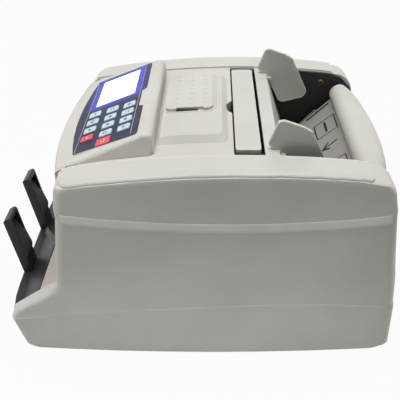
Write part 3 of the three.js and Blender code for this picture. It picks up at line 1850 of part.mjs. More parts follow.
// The object
addPair('side_cover', makeSideCover(), casing);
add('top_cover', makeTopCover(), casing());
add('rear_cover', makeHood(), casing());
add('back_panel', makeBackPanel(), casingShade());
add('base_pan', makeBasePan(), zincPlate());
addPair('foot_front', makeFoot(footX, foot.frontY), rubber);
addPair('foot_rear', makeFoot(footX, foot.rearY), rubber);

add('control_pod', makeControlPod(), casing());
add('keypad_overlay', makeOverlay(), overlayFilm());
add('display_window', onSlope(displayOutline(0), -panel.thickness, 0), displayGlass());
add('keypad_board', onSlope(
  roundedBox(
    keyFieldLow + gap, keyFieldFront + gap, keyFieldHigh - gap, keyFieldRear - gap, keys.corner,
  ),
  boardBottom,
  boardTop,
), circuitGreen());
keyCells.forEach((cell, i) => {
  const material = cell.red ? redKeyPlastic() : keyPlastic();
  add(`key_${String(i + 1).padStart(2, '0')}`, onSlope(keyOutline(cell, 0), keyBottom, keys.proud), material);
});

add('carry_handle', makeHandle(), casing());
add('access_cover', makeAccessCover(), casing());
add('gap_knob', makeKnob(), blackPlastic());

addPair('hopper_guide', makeGuide(), casingShade);
add('hopper_plate', makeHopperPlate(), casingShade());
addPair('hopper_liner', makeLiner(), blackPlastic);
addPair('liner_screw', makeLinerScrew(), steel);

add('stacker_floor', makeStackerFloor(), floorPlastic());
add('stacker_lip', makeStackerLip(), blackPlastic());
add('stacker_throat', makeStackerThroat(), blackPlastic());
addPair('stacker_arm', makeArm(), blackPlastic);

addPair('frame_plate', makeFramePlate(), zincPlate);
add('feed_shaft', makeShaft(feed.y, feed.z, feed.shaftRadius, feed.pulleyRadius, feed.sidePulleyRadius), steel());
addPair('feed_roller', makeSleeve(
  feed.rollerX, feed.rollerHalf, feed.rollerRadius, feed.shaftRadius + gap, feed.y, feed.z,
), rubber);
add('pickup_roller', makeShaft(pickup.y, pickup.z, pickup.shaftRadius, 0, pickup.pulleyRadius)
  .add(makeSleeve(plate.windowX, plate.windowHalf - gap * 2, pickup.sleeveRadius, gap, pickup.y, pickup.z))
  .add(makeSleeve(-plate.windowX, plate.windowHalf - gap * 2, pickup.sleeveRadius, gap, pickup.y, pickup.z)),
rubber());
add('stacker_shaft', makeShaft(wheel.y, wheel.z, wheel.shaftRadius, wheel.pulleyRadius, 0), steel());
addPair('stacker_wheel', makeStackerWheel(), wheelPlastic);
add('drive_motor', makeMotor(), zincPlate());
add('motor_shaft', makeMotorShaft(), steel());
add('drive_belt', makeBelt([
  [feed.y, feed.z, feed.pulleyRadius],
  [wheel.y, wheel.z, wheel.pulleyRadius],
  [motor.y, motor.z, motor.pulleyRadius],
], beltX), rubber());
add('pickup_belt', makeBelt([
  [feed.y, feed.z, feed.sidePulleyRadius],
  [pickup.y, pickup.z, pickup.pulleyRadius],
], -beltX - belt.width), rubber());
add('power_supply', makeSupply(), zincPlate());
add('main_board', makeMainBoard(), circuitGreen());
add('power_inlet', makeInlet(), blackPlastic());
add('power_rocker', makeRocker(), blackPlastic());

// The origin is the middle of the footprint, on the surface that the counter stands on
const box = new THREE.Box3().setFromObject(model);
const centre = box.getCenter(new THREE.Vector3());
model.position.set(-centre.x, -centre.y, -box.min.z);

export default model;
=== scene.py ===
"""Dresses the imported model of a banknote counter: finishes, fine detail, a camera and a small studio.

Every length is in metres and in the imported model's own frame: +X to the operator's right, +Y to the
rear, +Z up, with the feet on z = 0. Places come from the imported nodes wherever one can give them.
"""

import json
import logging
import math
from dataclasses import dataclass
from enum import Enum
from typing import Callable, Sequence

import bmesh
import bpy
from mathutils import Matrix, Vector
from mathutils.bvhtree import BVHTree

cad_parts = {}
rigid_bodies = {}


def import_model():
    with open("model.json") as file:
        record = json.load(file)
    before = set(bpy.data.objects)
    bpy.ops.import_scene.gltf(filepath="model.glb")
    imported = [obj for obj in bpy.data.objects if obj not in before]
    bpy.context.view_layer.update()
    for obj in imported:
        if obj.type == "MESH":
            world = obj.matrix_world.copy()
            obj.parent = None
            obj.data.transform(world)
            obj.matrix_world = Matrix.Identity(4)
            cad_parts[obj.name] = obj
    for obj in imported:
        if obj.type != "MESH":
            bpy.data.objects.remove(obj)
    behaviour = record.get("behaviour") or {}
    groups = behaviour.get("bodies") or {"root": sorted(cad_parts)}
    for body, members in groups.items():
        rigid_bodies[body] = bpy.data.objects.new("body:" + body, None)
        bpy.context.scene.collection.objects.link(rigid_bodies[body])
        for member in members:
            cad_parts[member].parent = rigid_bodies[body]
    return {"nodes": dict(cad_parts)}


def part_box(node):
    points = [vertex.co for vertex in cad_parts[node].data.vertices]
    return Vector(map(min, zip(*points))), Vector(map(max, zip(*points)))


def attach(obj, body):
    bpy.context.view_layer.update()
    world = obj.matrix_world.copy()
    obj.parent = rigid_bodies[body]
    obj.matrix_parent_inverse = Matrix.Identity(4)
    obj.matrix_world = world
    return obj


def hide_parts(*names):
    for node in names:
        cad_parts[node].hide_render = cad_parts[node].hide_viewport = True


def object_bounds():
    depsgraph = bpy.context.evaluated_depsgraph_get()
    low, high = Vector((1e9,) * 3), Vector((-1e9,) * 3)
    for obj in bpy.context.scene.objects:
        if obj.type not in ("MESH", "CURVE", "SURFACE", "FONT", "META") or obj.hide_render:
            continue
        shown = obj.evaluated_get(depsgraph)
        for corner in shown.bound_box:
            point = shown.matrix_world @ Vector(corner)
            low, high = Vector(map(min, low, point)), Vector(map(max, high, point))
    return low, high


for startup_object in list(bpy.data.objects):
    bpy.data.objects.remove(startup_object)
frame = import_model()
cad_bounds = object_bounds()

MM = 0.001
UP = Vector((0, 0, 1))
RIGHT = Vector((1, 0, 0))
REAR = Vector((0, 1, 0))
SIDES = ((1, "right"), (-1, "left"))
CLEAR = 20 * MM  # how far outside a node the rays start that are shot at it
WELD = MM / 1000  # corners nearer than this are one corner
CASING = "casing"

Colour = tuple[float, float, float]
Socket = bpy.types.NodeSocket
Operand = Socket | float
Point = tuple[float, float]

log = logging.getLogger("counter")


def srgb(red: int, green: int, blue: int) -> Colour:
    """Turns a display colour into scene-linear values.

    Args:
        red: Red from 0 to 255.
        green: Green from 0 to 255.
        blue: Blue from 0 to 255.

    Returns:
        The linear colour.
    """

    def linear(channel: int) -> float:
        """Undoes the display curve for one channel."""
        share = channel / 255
        return share / 12.92 if share <= 0.04045 else ((share + 0.055) / 1.055) ** 2.4

    return linear(red), linear(green), linear(blue)


class Graph:
    """A short way to lay out shader nodes in one tree."""

    def __init__(self, tree: bpy.types.NodeTree) -> None:
        """Keeps the tree that the nodes go into."""
        self.tree = tree

    def add(self, kind: str, **settings: object) -> bpy.types.Node:
        """Adds one node.

        Args:
            kind: Blender's type name of the node.
            **settings: Properties to set on it.

        Returns:
            The new node.
        """
        node = self.tree.nodes.new(kind)
        for name, value in settings.items():
            setattr(node, name, value)
        return node

    def feed(self, socket: Socket, value: Operand | Colour) -> None:
        """Links an output to a socket, or sets the socket's own value."""
        if isinstance(value, bpy.types.NodeSocket):
            self.tree.links.new(value, socket)
        elif isinstance(value, tuple) and len(value) == 3 and socket.type == "RGBA":
            socket.default_value = (*value, 1)
        else:
            socket.default_value = value

    def math(self, operation: str, *operands: Operand, clamp: bool = False) -> Socket:
        """Adds a Math node.

        Args:
            operation: Blender's name of the operation.
            *operands: Outputs or plain numbers, in order.
            clamp: Whether the result is kept from 0 to 1.

        Returns:
            The node's output.
        """
        node = self.add("ShaderNodeMath", operation=operation, use_clamp=clamp)
        for socket, value in zip(node.inputs, operands):
            self.feed(socket, value)
        return node.outputs[0]

    def ramp(
        self, value: Socket, low: Operand, high: Operand, to_low: float = 0, to_high: float = 1
    ) -> Socket:
        """Maps a value smoothly from one range to another.

        Args:
            value: The value to map.
            low: Where the first end of the range lies.
            high: Where the second end of the range lies.
            to_low: What the first end becomes.
            to_high: What the second end becomes.

        Returns:
            The mapped output.
        """
        node = self.add("ShaderNodeMapRange", interpolation_type="SMOOTHSTEP")
        names = ("Value", "From Min", "From Max", "To Min", "To Max")
        for name, given in zip(names, (value, low, high, to_low, to_high)):
            self.feed(node.inputs[name], given)
        return node.outputs["Result"]

    def mix(self, factor: Socket, first: Socket | Colour, second: Socket | Colour) -> Socket:
        """Mixes two colours by a factor that changes over the surface.

        Args:
            factor: The share of the second colour.
            first: The first colour.
            second: The second colour.

        Returns:
            The mixed colour.
        """
        node = self.add("ShaderNodeMix", data_type="RGBA")
        self.feed(node.inputs["Factor"], factor)
        self.feed(node.inputs["A"], first)
        self.feed(node.inputs["B"], second)
        return node.outputs["Result"]

    def place(self, group: bpy.types.NodeTree, **values: Operand) -> bpy.types.Node:
        """Places a node group with its own values.

        Args:
            group: The node group.
            **values: Its inputs, with underscores for spaces.

        Returns:
            The group's node.
        """
        node = self.add("ShaderNodeGroup", node_tree=group)
        for name, value in values.items():
            self.feed(node.inputs[name.replace("_", " ")], value)
        return node

    def object_point(self) -> Socket:
        """The place on the surface in the model's own frame."""
        return self.add("ShaderNodeTexCoord").outputs["Object"]

    def noise(self, size: Operand, detail: float, point: Socket | None = None) -> Socket:
        """Noise from 0 to 1 whose waves have a given size.

        Args:
            size: The length of a wave, in metres.
            detail: How many finer layers it has.
            point: Where the noise is read, in the model's own frame if left out.

        Returns:
            The noise value.
        """
        node = self.add("ShaderNodeTexNoise")
        self.feed(node.inputs["Vector"], self.object_point() if point is None else point)
        self.feed(node.inputs["Scale"], self.math("DIVIDE", 1.0, size))
        node.inputs["Detail"].default_value = detail
        return node.outputs["Fac"]


class Effect(Enum):
    """The shader node groups that finishes share."""

    MOULDED_GRAIN = "Moulded grain"
    EDGE_RUB_AND_HIGHLIGHT = "Edge rub"
    SETTLED_DUST = "Settled dust"
    OCCLUSION_SHADE = "Painted occlusion shade"
    DRAWN_LINES = "Drawn lines"
    BOX_GLOW = "Box glow"


GroupBuilder = Callable[[Graph, bpy.types.Node, bpy.types.Node], None]


class Effects:
    """Builds each shared node group once and hands it out."""

    def __init__(self) -> None:
        """Starts with no group built."""
        self.built: dict[Effect, bpy.types.NodeTree] = {}
        self.recipes: dict[Effect, tuple[GroupBuilder, tuple[str, ...], tuple[str, ...]]] = {
            Effect.MOULDED_GRAIN: (self._moulded_grain, ("Grain Size", "Mottle Size"), ("Height", "Mottle")),
            Effect.EDGE_RUB_AND_HIGHLIGHT: (self._edge_rub, ("Reach", "Patch Size"), ("Mask", "Edge")),
            Effect.SETTLED_DUST: (self._settled_dust, ("Patch Size", "Amount"), ("Mask",)),
            Effect.OCCLUSION_SHADE: (self._occlusion_shade, ("Reach", "Amount"), ("Mask",)),
            Effect.DRAWN_LINES: (self._drawn_lines, ("Line Size", "Stretch"), ("Height", "Streak")),
            Effect.BOX_GLOW: (
                self._box_glow, ("Centre X", "Centre Y", "Half X", "Half Y", "Reach"), ("Mask",)
            ),
        }

    def get(self, effect: Effect) -> bpy.types.NodeTree:
        """Hands out a node group, built on its first use.

        Args:
            effect: Which effect is wanted.

        Returns:
            The node group.
        """
        if effect not in self.built:
            tree = bpy.data.node_groups.new(effect.value, "ShaderNodeTree")
            builder, inputs, outputs = self.recipes[effect]
            for names, way in ((inputs, "INPUT"), (outputs, "OUTPUT")):
                for name in names:
                    tree.interface.new_socket(name=name, in_out=way, socket_type="NodeSocketFloat")
            graph = Graph(tree)
            builder(graph, graph.add("NodeGroupInput"), graph.add("NodeGroupOutput"))
            self.built[effect] = tree
            log.info("effect: %s", effect.value)
        return self.built[effect]

    @staticmethod
    def _moulded_grain(graph: Graph, given: bpy.types.Node, out: bpy.types.Node) -> None:
        """A spark-eroded mould's fine pits, with slow changes of tone across a moulding."""
        pit, crest, dark, light = 0.35, 0.65, 0.3, 0.7
        fine = graph.noise(given.outputs["Grain Size"], detail=2)
        slow = graph.noise(given.outputs["Mottle Size"], detail=4)
        graph.feed(out.inputs["Height"], graph.ramp(fine, pit, crest))
        graph.feed(out.inputs["Mottle"], graph.ramp(slow, dark, light))

    @staticmethod
    def _edge_rub(graph: Graph, given: bpy.types.Node, out: bpy.types.Node) -> None:
        """A mask along outside edges, broken up where hands have not rubbed; its whole edge serves as a
        painted highlight.
        """
        flat, turned, whole, worn = 0.995, 0.86, 0.4, 0.62
        rounded = graph.add("ShaderNodeBevel", samples=4)
        graph.feed(rounded.inputs["Radius"], given.outputs["Reach"])
        plain = graph.add("ShaderNodeNewGeometry")
        turn = graph.add("ShaderNodeVectorMath", operation="DOT_PRODUCT")
        graph.feed(turn.inputs[0], rounded.outputs["Normal"])
        graph.feed(turn.inputs[1], plain.outputs["Normal"])
        edge = graph.ramp(turn.outputs["Value"], flat, turned)
        patch = graph.noise(given.outputs["Patch Size"], detail=3)
        graph.feed(out.inputs["Edge"], edge)
        graph.feed(out.inputs["Mask"], graph.math("MULTIPLY", edge, graph.ramp(patch, whole, worn)))

    @staticmethod
    def _settled_dust(graph: Graph, given: bpy.types.Node, out: bpy.types.Node) -> None:
        """A thin patchy film on faces that look up."""
        steep, level, clean, dusty = 0.55, 0.95, 0.35, 0.75
        facing = graph.add("ShaderNodeSeparateXYZ")
        graph.feed(facing.inputs[0], graph.add("ShaderNodeNewGeometry").outputs["Normal"])
        lying = graph.ramp(facing.outputs["Z"], steep, level)
        patch = graph.noise(given.outputs["Patch Size"], detail=5)
        film = graph.math("MULTIPLY", lying, graph.ramp(patch, clean, dusty))
        graph.feed(out.inputs["Mask"], graph.math("MULTIPLY", film, given.outputs["Amount"], clamp=True))

    @staticmethod
    def _occlusion_shade(graph: Graph, given: bpy.types.Node, out: bpy.types.Node) -> None:
        """A mask of painted shade in corners and seams, read from ambient occlusion."""
        clear, closed = 0.85, 0.25
        near = graph.add("ShaderNodeAmbientOcclusion", samples=4)
        graph.feed(near.inputs["Distance"], given.outputs["Reach"])
        deep = graph.ramp(near.outputs["AO"], clear, closed)
        graph.feed(out.inputs["Mask"], graph.math("MULTIPLY", deep, given.outputs["Amount"], clamp=True))

    @staticmethod
    def _drawn_lines(graph: Graph, given: bpy.types.Node, out: bpy.types.Node) -> None:
        """Fine parallel lines along X, as rolling or grinding leaves them."""
        dull, bright = 0.35, 0.65
        stretched = graph.add("ShaderNodeMapping")
        squeeze = graph.add("ShaderNodeCombineXYZ")
        graph.feed(squeeze.inputs["X"], given.outputs["Stretch"])
        graph.feed(squeeze.inputs["Y"], 1.0)
        graph.feed(squeeze.inputs["Z"], 1.0)
        graph.feed(stretched.inputs["Vector"], graph.object_point())
        graph.feed(stretched.inputs["Scale"], squeeze.outputs[0])
        lines = graph.noise(given.outputs["Line Size"], detail=4, point=stretched.outputs[0])
        graph.feed(out.inputs["Height"], lines)
        graph.feed(out.inputs["Streak"], graph.ramp(lines, dull, bright))

    @staticmethod
    def _box_glow(graph: Graph, given: bpy.types.Node, out: bpy.types.Node) -> None:
        """Falls from 1 at the border of a box, seen from above, to 0 at a distance outside it."""
        place = graph.add("ShaderNodeSeparateXYZ")
        graph.feed(place.inputs[0], graph.object_point())
        sides = []
        for axis in "XY":
            offset = graph.math("SUBTRACT", place.outputs[axis], given.outputs[f"Centre {axis}"])
            beyond = graph.math("SUBTRACT", graph.math("ABSOLUTE", offset), given.outputs[f"Half {axis}"])
            sides.append(graph.math("POWER", graph.math("MAXIMUM", beyond, 0.0), 2.0))
        away = graph.math("SQRT", graph.math("ADD", *sides))
        share = graph.math("DIVIDE", away, given.outputs["Reach"])
        graph.feed(out.inputs["Mask"], graph.ramp(share, 1.0, 0.0))


@dataclass(frozen=True)
class Finish:
    """What every finish has: a name, a colour and a roughness."""

    name: str
    colour: Colour
    roughness: float

    def start(self) -> tuple[bpy.types.Material, Graph, bpy.types.Node]:
        """Starts a material.

        Returns:
            The material, its graph and its Principled shader.
        """
        material = bpy.data.materials.new(self.name)
        material.use_nodes = True
        graph = Graph(material.node_tree)
        shader = material.node_tree.nodes["Principled BSDF"]
        graph.feed(shader.inputs["Base Color"], self.colour)
        shader.inputs["Roughness"].default_value = self.roughness
        return material, graph, shader

    def vary(self, graph: Graph, shader: bpy.types.Node, share: Socket, less: float, more: float) -> None:
        """Lets the roughness change over the surface.

        Args:
            graph: The material's graph.
            shader: Its Principled shader.
            share: The value from 0 to 1 that it follows.
            less: How far under the finish's own roughness it starts.
            more: How far over it it ends.
        """
        rough = graph.ramp(share, 0.0, 1.0, self.roughness - less, self.roughness + more)
        graph.feed(shader.inputs["Roughness"], rough)

    @staticmethod
    def bump(graph: Graph, shader: bpy.types.Node, height: Socket, depth: float) -> None:
        """Feeds a height to the shader's normal.

        Args:
            graph: The material's graph.
            shader: Its Principled shader.
            height: The height, from 0 to 1.
            depth: How deep the full height is, in metres.
        """
        node = graph.add("ShaderNodeBump")
        node.inputs["Distance"].default_value = depth
        graph.feed(node.inputs["Height"], height)
        graph.feed(shader.inputs["Normal"], node.outputs["Normal"])


@dataclass(frozen=True)
class MouldedPlastic(Finish):
    """Injection-moulded plastic with a fine eroded grain, rubbed edges and a little dust, with painted shade
    in its corners and seams and, where set, a painted highlight all along its edges.
    """

    tone: Colour = (0.5, 0.5, 0.5)
    grain_size: float = 0.55 * MM
    grain_depth: float = 0.03 * MM
    mottle_size: float = 60 * MM
    # The colour of lighter edges: patchy rubbed wear, and with the all-round switch an unbroken painted
    # highlight.
    rub: Colour | None = None
    rub_reach: float = 0.5 * MM
    rub_patch: float = 6 * MM
    rub_all_round: bool = False
    dust: float = 0.12
    dust_patch: float = 14 * MM
    dust_colour: Colour = (0.5, 0.47, 0.42)
    # How strongly painted shade darkens corners and seams, how far it reaches, and how dark it gets.
    grime: float = 0.3
    grime_reach: float = 3 * MM
    grime_share: float = 0.35
    smoother: float = 0.04
    rougher: float = 0.05
    coat: float = 0.0
    specular: float = 0.5

    def build(self, effects: Effects) -> bpy.types.Material:
        """Builds the material.

        Args:
            effects: The shared node groups.

        Returns:
            The material.
        """
        material, graph, shader = self.start()
        grain = graph.place(
            effects.get(Effect.MOULDED_GRAIN), Grain_Size=self.grain_size, Mottle_Size=self.mottle_size
        )
        colour = graph.mix(grain.outputs["Mottle"], self.colour, self.tone)
        # Painted shade: darkens corners and seams by ambient occlusion.
        if self.grime > 0:
            occlusion_shade = graph.place(effects.get(Effect.OCCLUSION_SHADE), Reach=self.grime_reach, Amount=self.grime)
            shaded = tuple(channel * self.grime_share for channel in self.tone)
            colour = graph.mix(occlusion_shade.outputs["Mask"], colour, shaded)
        # Lighter edges: patchy rub as wear, and with the all-round switch an unbroken painted highlight.
        if self.rub is not None:
            edge = graph.place(effects.get(Effect.EDGE_RUB_AND_HIGHLIGHT), Reach=self.rub_reach, Patch_Size=self.rub_patch)
            colour = graph.mix(edge.outputs["Edge" if self.rub_all_round else "Mask"], colour, self.rub)
        if self.dust > 0:
            film = graph.place(effects.get(Effect.SETTLED_DUST), Patch_Size=self.dust_patch, Amount=self.dust)
            colour = graph.mix(film.outputs["Mask"], colour, self.dust_colour)
        graph.feed(shader.inputs["Base Color"], colour)
        self.vary(graph, shader, grain.outputs["Mottle"], self.smoother, self.rougher)
        shader.inputs["Coat Weight"].default_value = self.coat
        shader.inputs["Specular IOR Level"].default_value = self.specular
        self.bump(graph, shader, grain.outputs["Height"], self.grain_depth)
        return material


@dataclass(frozen=True)
class SheetMetal(Finish):
    """Plated or ground metal with drawn lines, and painted shade in its corners and seams."""

    tone: Colour = (0.5, 0.5, 0.5)
    metallic: float = 1.0
    line_size: float = 0.7 * MM
    line_depth: float = 0.012 * MM
    stretch: float = 0.04
    # The painted shade's colour in corners and seams, its reach and its strength.
    grime: Colour = (0.08, 0.075, 0.07)
    grime_reach: float = 4 * MM
    grime_amount: float = 0.4
    smoother: float = 0.06
    rougher: float = 0.08

    def build(self, effects: Effects) -> bpy.types.Material:
        """Builds the material.

        Args:
            effects: The shared node groups.

        Returns:
            The material.
        """
        material, graph, shader = self.start()
        lines = graph.place(effects.get(Effect.DRAWN_LINES), Line_Size=self.line_size, Stretch=self.stretch)
        # Painted shade: darkens corners and seams by ambient occlusion.
        occlusion_shade = graph.place(effects.get(Effect.OCCLUSION_SHADE), Reach=self.grime_reach, Amount=self.grime_amount)
        colour = graph.mix(lines.outputs["Streak"], self.colour, self.tone)
        graph.feed(shader.inputs["Base Color"], graph.mix(occlusion_shade.outputs["Mask"], colour, self.grime))
        self.vary(graph, shader, lines.outputs["Streak"], self.smoother, self.rougher)
        shader.inputs["Metallic"].default_value = self.metallic
        self.bump(graph, shader, lines.outputs["Height"], self.line_depth)
        return material


@dataclass(frozen=True)
class WindowFinish(Finish):
    """What the two finishes at the display share: its place, and their own light and grain."""

    window: str = "display_window"
    strength: float = 1.0
    grain_size: float = 0.4 * MM
    grain_depth: float = 0.01 * MM
    mottle_size: float = 25 * MM

    def halo(self, graph: Graph, effects: Effects, inset: float, reach: float) -> Socket:
        """A mask that falls from 1 at the display's border to 0 outside it.

        Args:
            graph: The material's graph.
            effects: The shared node groups.
            inset: How far inside the border the fall starts.
            reach: The distance over which it falls.

        Returns:
            The mask.
        """
        low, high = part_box(self.window)
        centre, half = (low + high) / 2, (high - low) / 2
        return graph.place(
            effects.get(Effect.BOX_GLOW), Centre_X=centre.x, Centre_Y=centre.y,
            Half_X=half.x - inset, Half_Y=half.y - inset, Reach=reach,
        ).outputs["Mask"]

    def grained(self, graph: Graph, shader: bpy.types.Node, effects: Effects) -> bpy.types.Node:
        """Adds the fine grain and hands out its node."""
        grain = graph.place(
            effects.get(Effect.MOULDED_GRAIN), Grain_Size=self.grain_size, Mottle_Size=self.mottle_size
        )
        self.bump(graph, shader, grain.outputs["Height"], self.grain_depth)
        return grain


@dataclass(frozen=True)
class PrintedFilm(WindowFinish):
    """A dark printed film lit at the border of the display that it frames."""

    glow: Colour = (0.05, 0.06, 0.6)
    glow_fall: float = 3.0
    reach: float = 15 * MM
    specular: float = 0.2
    lighter: float = 1.35
    smoother: float = 0.03
    rougher: float = 0.06

    def build(self, effects: Effects) -> bpy.types.Material:
        """Builds the material.

        Args:
            effects: The shared node groups.

        Returns:
            The material.
        """
        material, graph, shader = self.start()
        fading = graph.math("POWER", self.halo(graph, effects, 0.0, self.reach), self.glow_fall)
        graph.feed(shader.inputs["Emission Color"], graph.mix(fading, (0.0, 0.0, 0.0), self.glow))
        shader.inputs["Emission Strength"].default_value = self.strength
        shader.inputs["Specular IOR Level"].default_value = self.specular
        mottle = self.grained(graph, shader, effects).outputs["Mottle"]
        lighter = tuple(channel * self.lighter for channel in self.colour)
        graph.feed(shader.inputs["Base Color"], graph.mix(mottle, self.colour, lighter))
        self.vary(graph, shader, mottle, self.smoother, self.rougher)
        return material


@dataclass(frozen=True)
class LitWindow(WindowFinish):
    """A backlit display, white inside and violet at its border."""

    grain_size: float = 0.3 * MM
    grain_depth: float = 0.004 * MM
    mottle_size: float = 20 * MM
    border: Colour = (0.16, 0.14, 1.0)
    border_width: float = 1.0 * MM

    def build(self, effects: Effects) -> bpy.types.Material:
        """Builds the material.

        Args:
            effects: The shared node groups.

        Returns:
            The material.
        """
        material, graph, shader = self.start()
        inner = self.halo(graph, effects, self.border_width, self.border_width)
        graph.feed(shader.inputs["Emission Color"], graph.mix(inner, self.border, (1.0, 1.0, 1.0)))
        shader.inputs["Emission Strength"].default_value = self.strength
        self.grained(graph, shader, effects)
        return material


@dataclass(frozen=True)
class SolderMask(Finish):
    """A circuit board's green lacquer over copper tracks."""

    track: Colour = (0.04, 0.25, 0.1)
    track_size: float = 2.4 * MM
    track_edge: Point = (0.14, 0.08)
    track_depth: float = 0.03 * MM
    dust_patch: float = 9 * MM
    dust_amount: float = 0.3
    dusty_roughness: float = 0.8

    def build(self, effects: Effects) -> bpy.types.Material:
        """Builds the material.

        Args:
            effects: The shared node groups.

        Returns:
            The material.
        """
        material, graph, shader = self.start()
        cells = graph.add("ShaderNodeTexVoronoi", distance="MANHATTAN", feature="DISTANCE_TO_EDGE")
        graph.feed(cells.inputs["Vector"], graph.object_point())
        cells.inputs["Scale"].default_value = 1 / self.track_size
        track = graph.ramp(cells.outputs["Distance"], *self.track_edge)
        graph.feed(shader.inputs["Base Color"], graph.mix(track, self.colour, self.track))
        film = graph.place(
            effects.get(Effect.SETTLED_DUST), Patch_Size=self.dust_patch, Amount=self.dust_amount
        )
        self.vary(graph, shader, film.outputs["Mask"], 0.0, self.dusty_roughness - self.roughness)
        self.bump(graph, shader, track, self.track_depth)
        return material


@dataclass(frozen=True)
class StudioPaper(Finish):
    """The floor: white to the camera, plainer to the light that it throws back, with soft shadows kept."""

    to_camera: Colour = (1.0, 1.0, 1.0)
    camera_share: float = 0.965
    weave_size: float = 8 * MM
    weave_depth: float = 0.05 * MM

    def build(self) -> bpy.types.Material:
        """Builds the material.

        Returns:
            The material.
        """
        material, graph, shader = self.start()
        self.bump(graph, shader, graph.noise(self.weave_size, detail=3), self.weave_depth)
        path = graph.add("ShaderNodeLightPath")
        seen = graph.math("MAXIMUM", path.outputs["Is Camera Ray"], path.outputs["Is Glossy Ray"])
        white = graph.add("ShaderNodeEmission")
        graph.feed(white.inputs["Color"], self.to_camera)
        mixed = graph.add("ShaderNodeMixShader")
        graph.feed(mixed.inputs[0], graph.math("MULTIPLY", seen, self.camera_share))
        graph.feed(mixed.inputs[1], shader.outputs[0])
        graph.feed(mixed.inputs[2], white.outputs[0])
        output = material.node_tree.nodes["Material Output"]
        graph.feed(output.inputs["Surface"], mixed.outputs[0])
        return material


class Palette:
    """The counter's finishes, one for each kind of surface."""

    def __init__(self) -> None:
        """Builds every material."""
        effects = Effects()

        def plastic(
            name: str, colour: Colour, tone: Colour, roughness: float, **more: Colour | float
        ) -> bpy.types.Material:
            """Builds one moulded plastic."""
            return MouldedPlastic(name, colour, roughness, tone=tone, **more).build(effects)

        def metal(
            name: str, colour: Colour, tone: Colour, roughness: float, **more: float
        ) -> bpy.types.Material:
            """Builds one bare metal."""
            return SheetMetal(name, colour, roughness, tone=tone, **more).build(effects)

        pale, pale_tone, pale_dust = srgb(221, 217, 211), srgb(214, 210, 203), srgb(205, 199, 188)
        self.casing = plastic(
            "casing_plastic", pale, pale_tone, 0.42, rub=srgb(232, 229, 223), dust=0.08, dust_colour=pale_dust
        )
        # The strips' edges carry a painted highlight all round, and their grooves a stronger painted shade.
        self.strip = plastic(
            "strip_plastic", pale, pale_tone, 0.34, rub=srgb(253, 251, 247), rub_reach=1.6 * MM,
            rub_all_round=True, dust=0.05, dust_colour=pale_dust, grime=0.5, grime_reach=2 * MM,
        )
        # The guides' edges carry a painted highlight all round.
        self.guide = plastic(
            "guide_plastic", srgb(208, 206, 200), srgb(200, 198, 191), 0.4, rub=srgb(250, 248, 242),
            rub_reach=2.2 * MM, rub_all_round=True, dust=0.05,
        )
        # The plate is darker than the casing to stand for the shade inside the hopper: painted shade.
        self.plate = plastic("hopper_shaded_plastic", srgb(170, 169, 163), srgb(162, 161, 155), 0.4, dust=0.1)
        self.rear = plastic("rear_panel_plastic", srgb(188, 186, 181), srgb(180, 178, 173), 0.48)
        self.black = plastic(
            "black_plastic", srgb(46, 46, 48), srgb(38, 38, 40), 0.38, rub=srgb(92, 92, 94), dust=0.1,
            dust_colour=srgb(120, 116, 110), grime=0.1, specular=0.3,
        )
        # The arms' webs: a lighter copy of the black plastic, painted as lit facets.
        self.web = plastic(
            "arm_facet_lit_plastic", srgb(64, 65, 68), srgb(54, 55, 58), 0.42, rub=srgb(104, 104, 106),
            dust=0.1, grime=0.1,
        )
        self.liner = plastic(
            "liner_plastic", srgb(21, 21, 22), srgb(17, 17, 18), 0.5, dust=0.06,
            dust_colour=srgb(90, 86, 80), grime=0,
        )
        self.beige = plastic("floor_plastic", srgb(214, 203, 197), srgb(205, 194, 188), 0.42)
        self.wheel = plastic("wheel_plastic", srgb(176, 170, 158), srgb(164, 157, 145), 0.45)
        cap = {"grain_size": 0.3 * MM, "dust": 0.04, "grime": 0.2, "coat": 0.2}
        self.key = plastic("key_plastic", srgb(208, 232, 244), srgb(198, 224, 238), 0.35, **cap)
        self.key_red = plastic("key_red_plastic", srgb(236, 48, 68), srgb(228, 38, 58), 0.35, **cap)
        ink = {"grain_size": 0.2 * MM, "dust": 0, "grime": 0}
        self.ink = plastic("printed_ink", srgb(38, 40, 48), srgb(30, 32, 40), 0.45, **ink)
        self.pale_ink = plastic("pale_ink", srgb(232, 234, 238), srgb(222, 224, 230), 0.4, **ink)
        self.silver_ink = plastic("silver_ink", srgb(176, 178, 190), srgb(160, 162, 176), 0.3, **ink)
        # Black that stands for shadow in slots, recesses and openings: painted shadow.
        self.gap = plastic("shadow_gap", srgb(16, 16, 17), srgb(12, 12, 13), 0.7, dust=0, grime=0)
        self.rubber = plastic(
            "rubber", srgb(42, 41, 41), srgb(34, 33, 33), 0.8, grain_size=0.9 * MM, grain_depth=0.06 * MM,
            dust=0.3, dust_colour=srgb(110, 104, 96), grime=0,
        )
        self.steel = metal("ground_steel", srgb(196, 196, 198), srgb(176, 176, 179), 0.28)
        self.brass = metal("brass", srgb(214, 194, 160), srgb(186, 164, 130), 0.38, line_size=0.3 * MM)
        self.old_brass = metal("old_brass", srgb(96, 84, 70), srgb(70, 62, 54), 0.5, line_size=0.3 * MM)
        self.zinc = metal(
            "zinc_plate", srgb(190, 192, 194), srgb(168, 170, 174), 0.42, metallic=0.9,
            line_size=2.5 * MM, stretch=0.3,
        )
        self.film = PrintedFilm("overlay_film", srgb(30, 32, 58), 0.42).build(effects)
        self.lit = LitWindow("display_lit", srgb(245, 246, 255), 0.25).build(effects)
        self.board = SolderMask("solder_mask", srgb(24, 92, 48), 0.35).build(effects)
        self.paper = StudioPaper("studio_paper", srgb(168, 173, 170), 0.9).build()


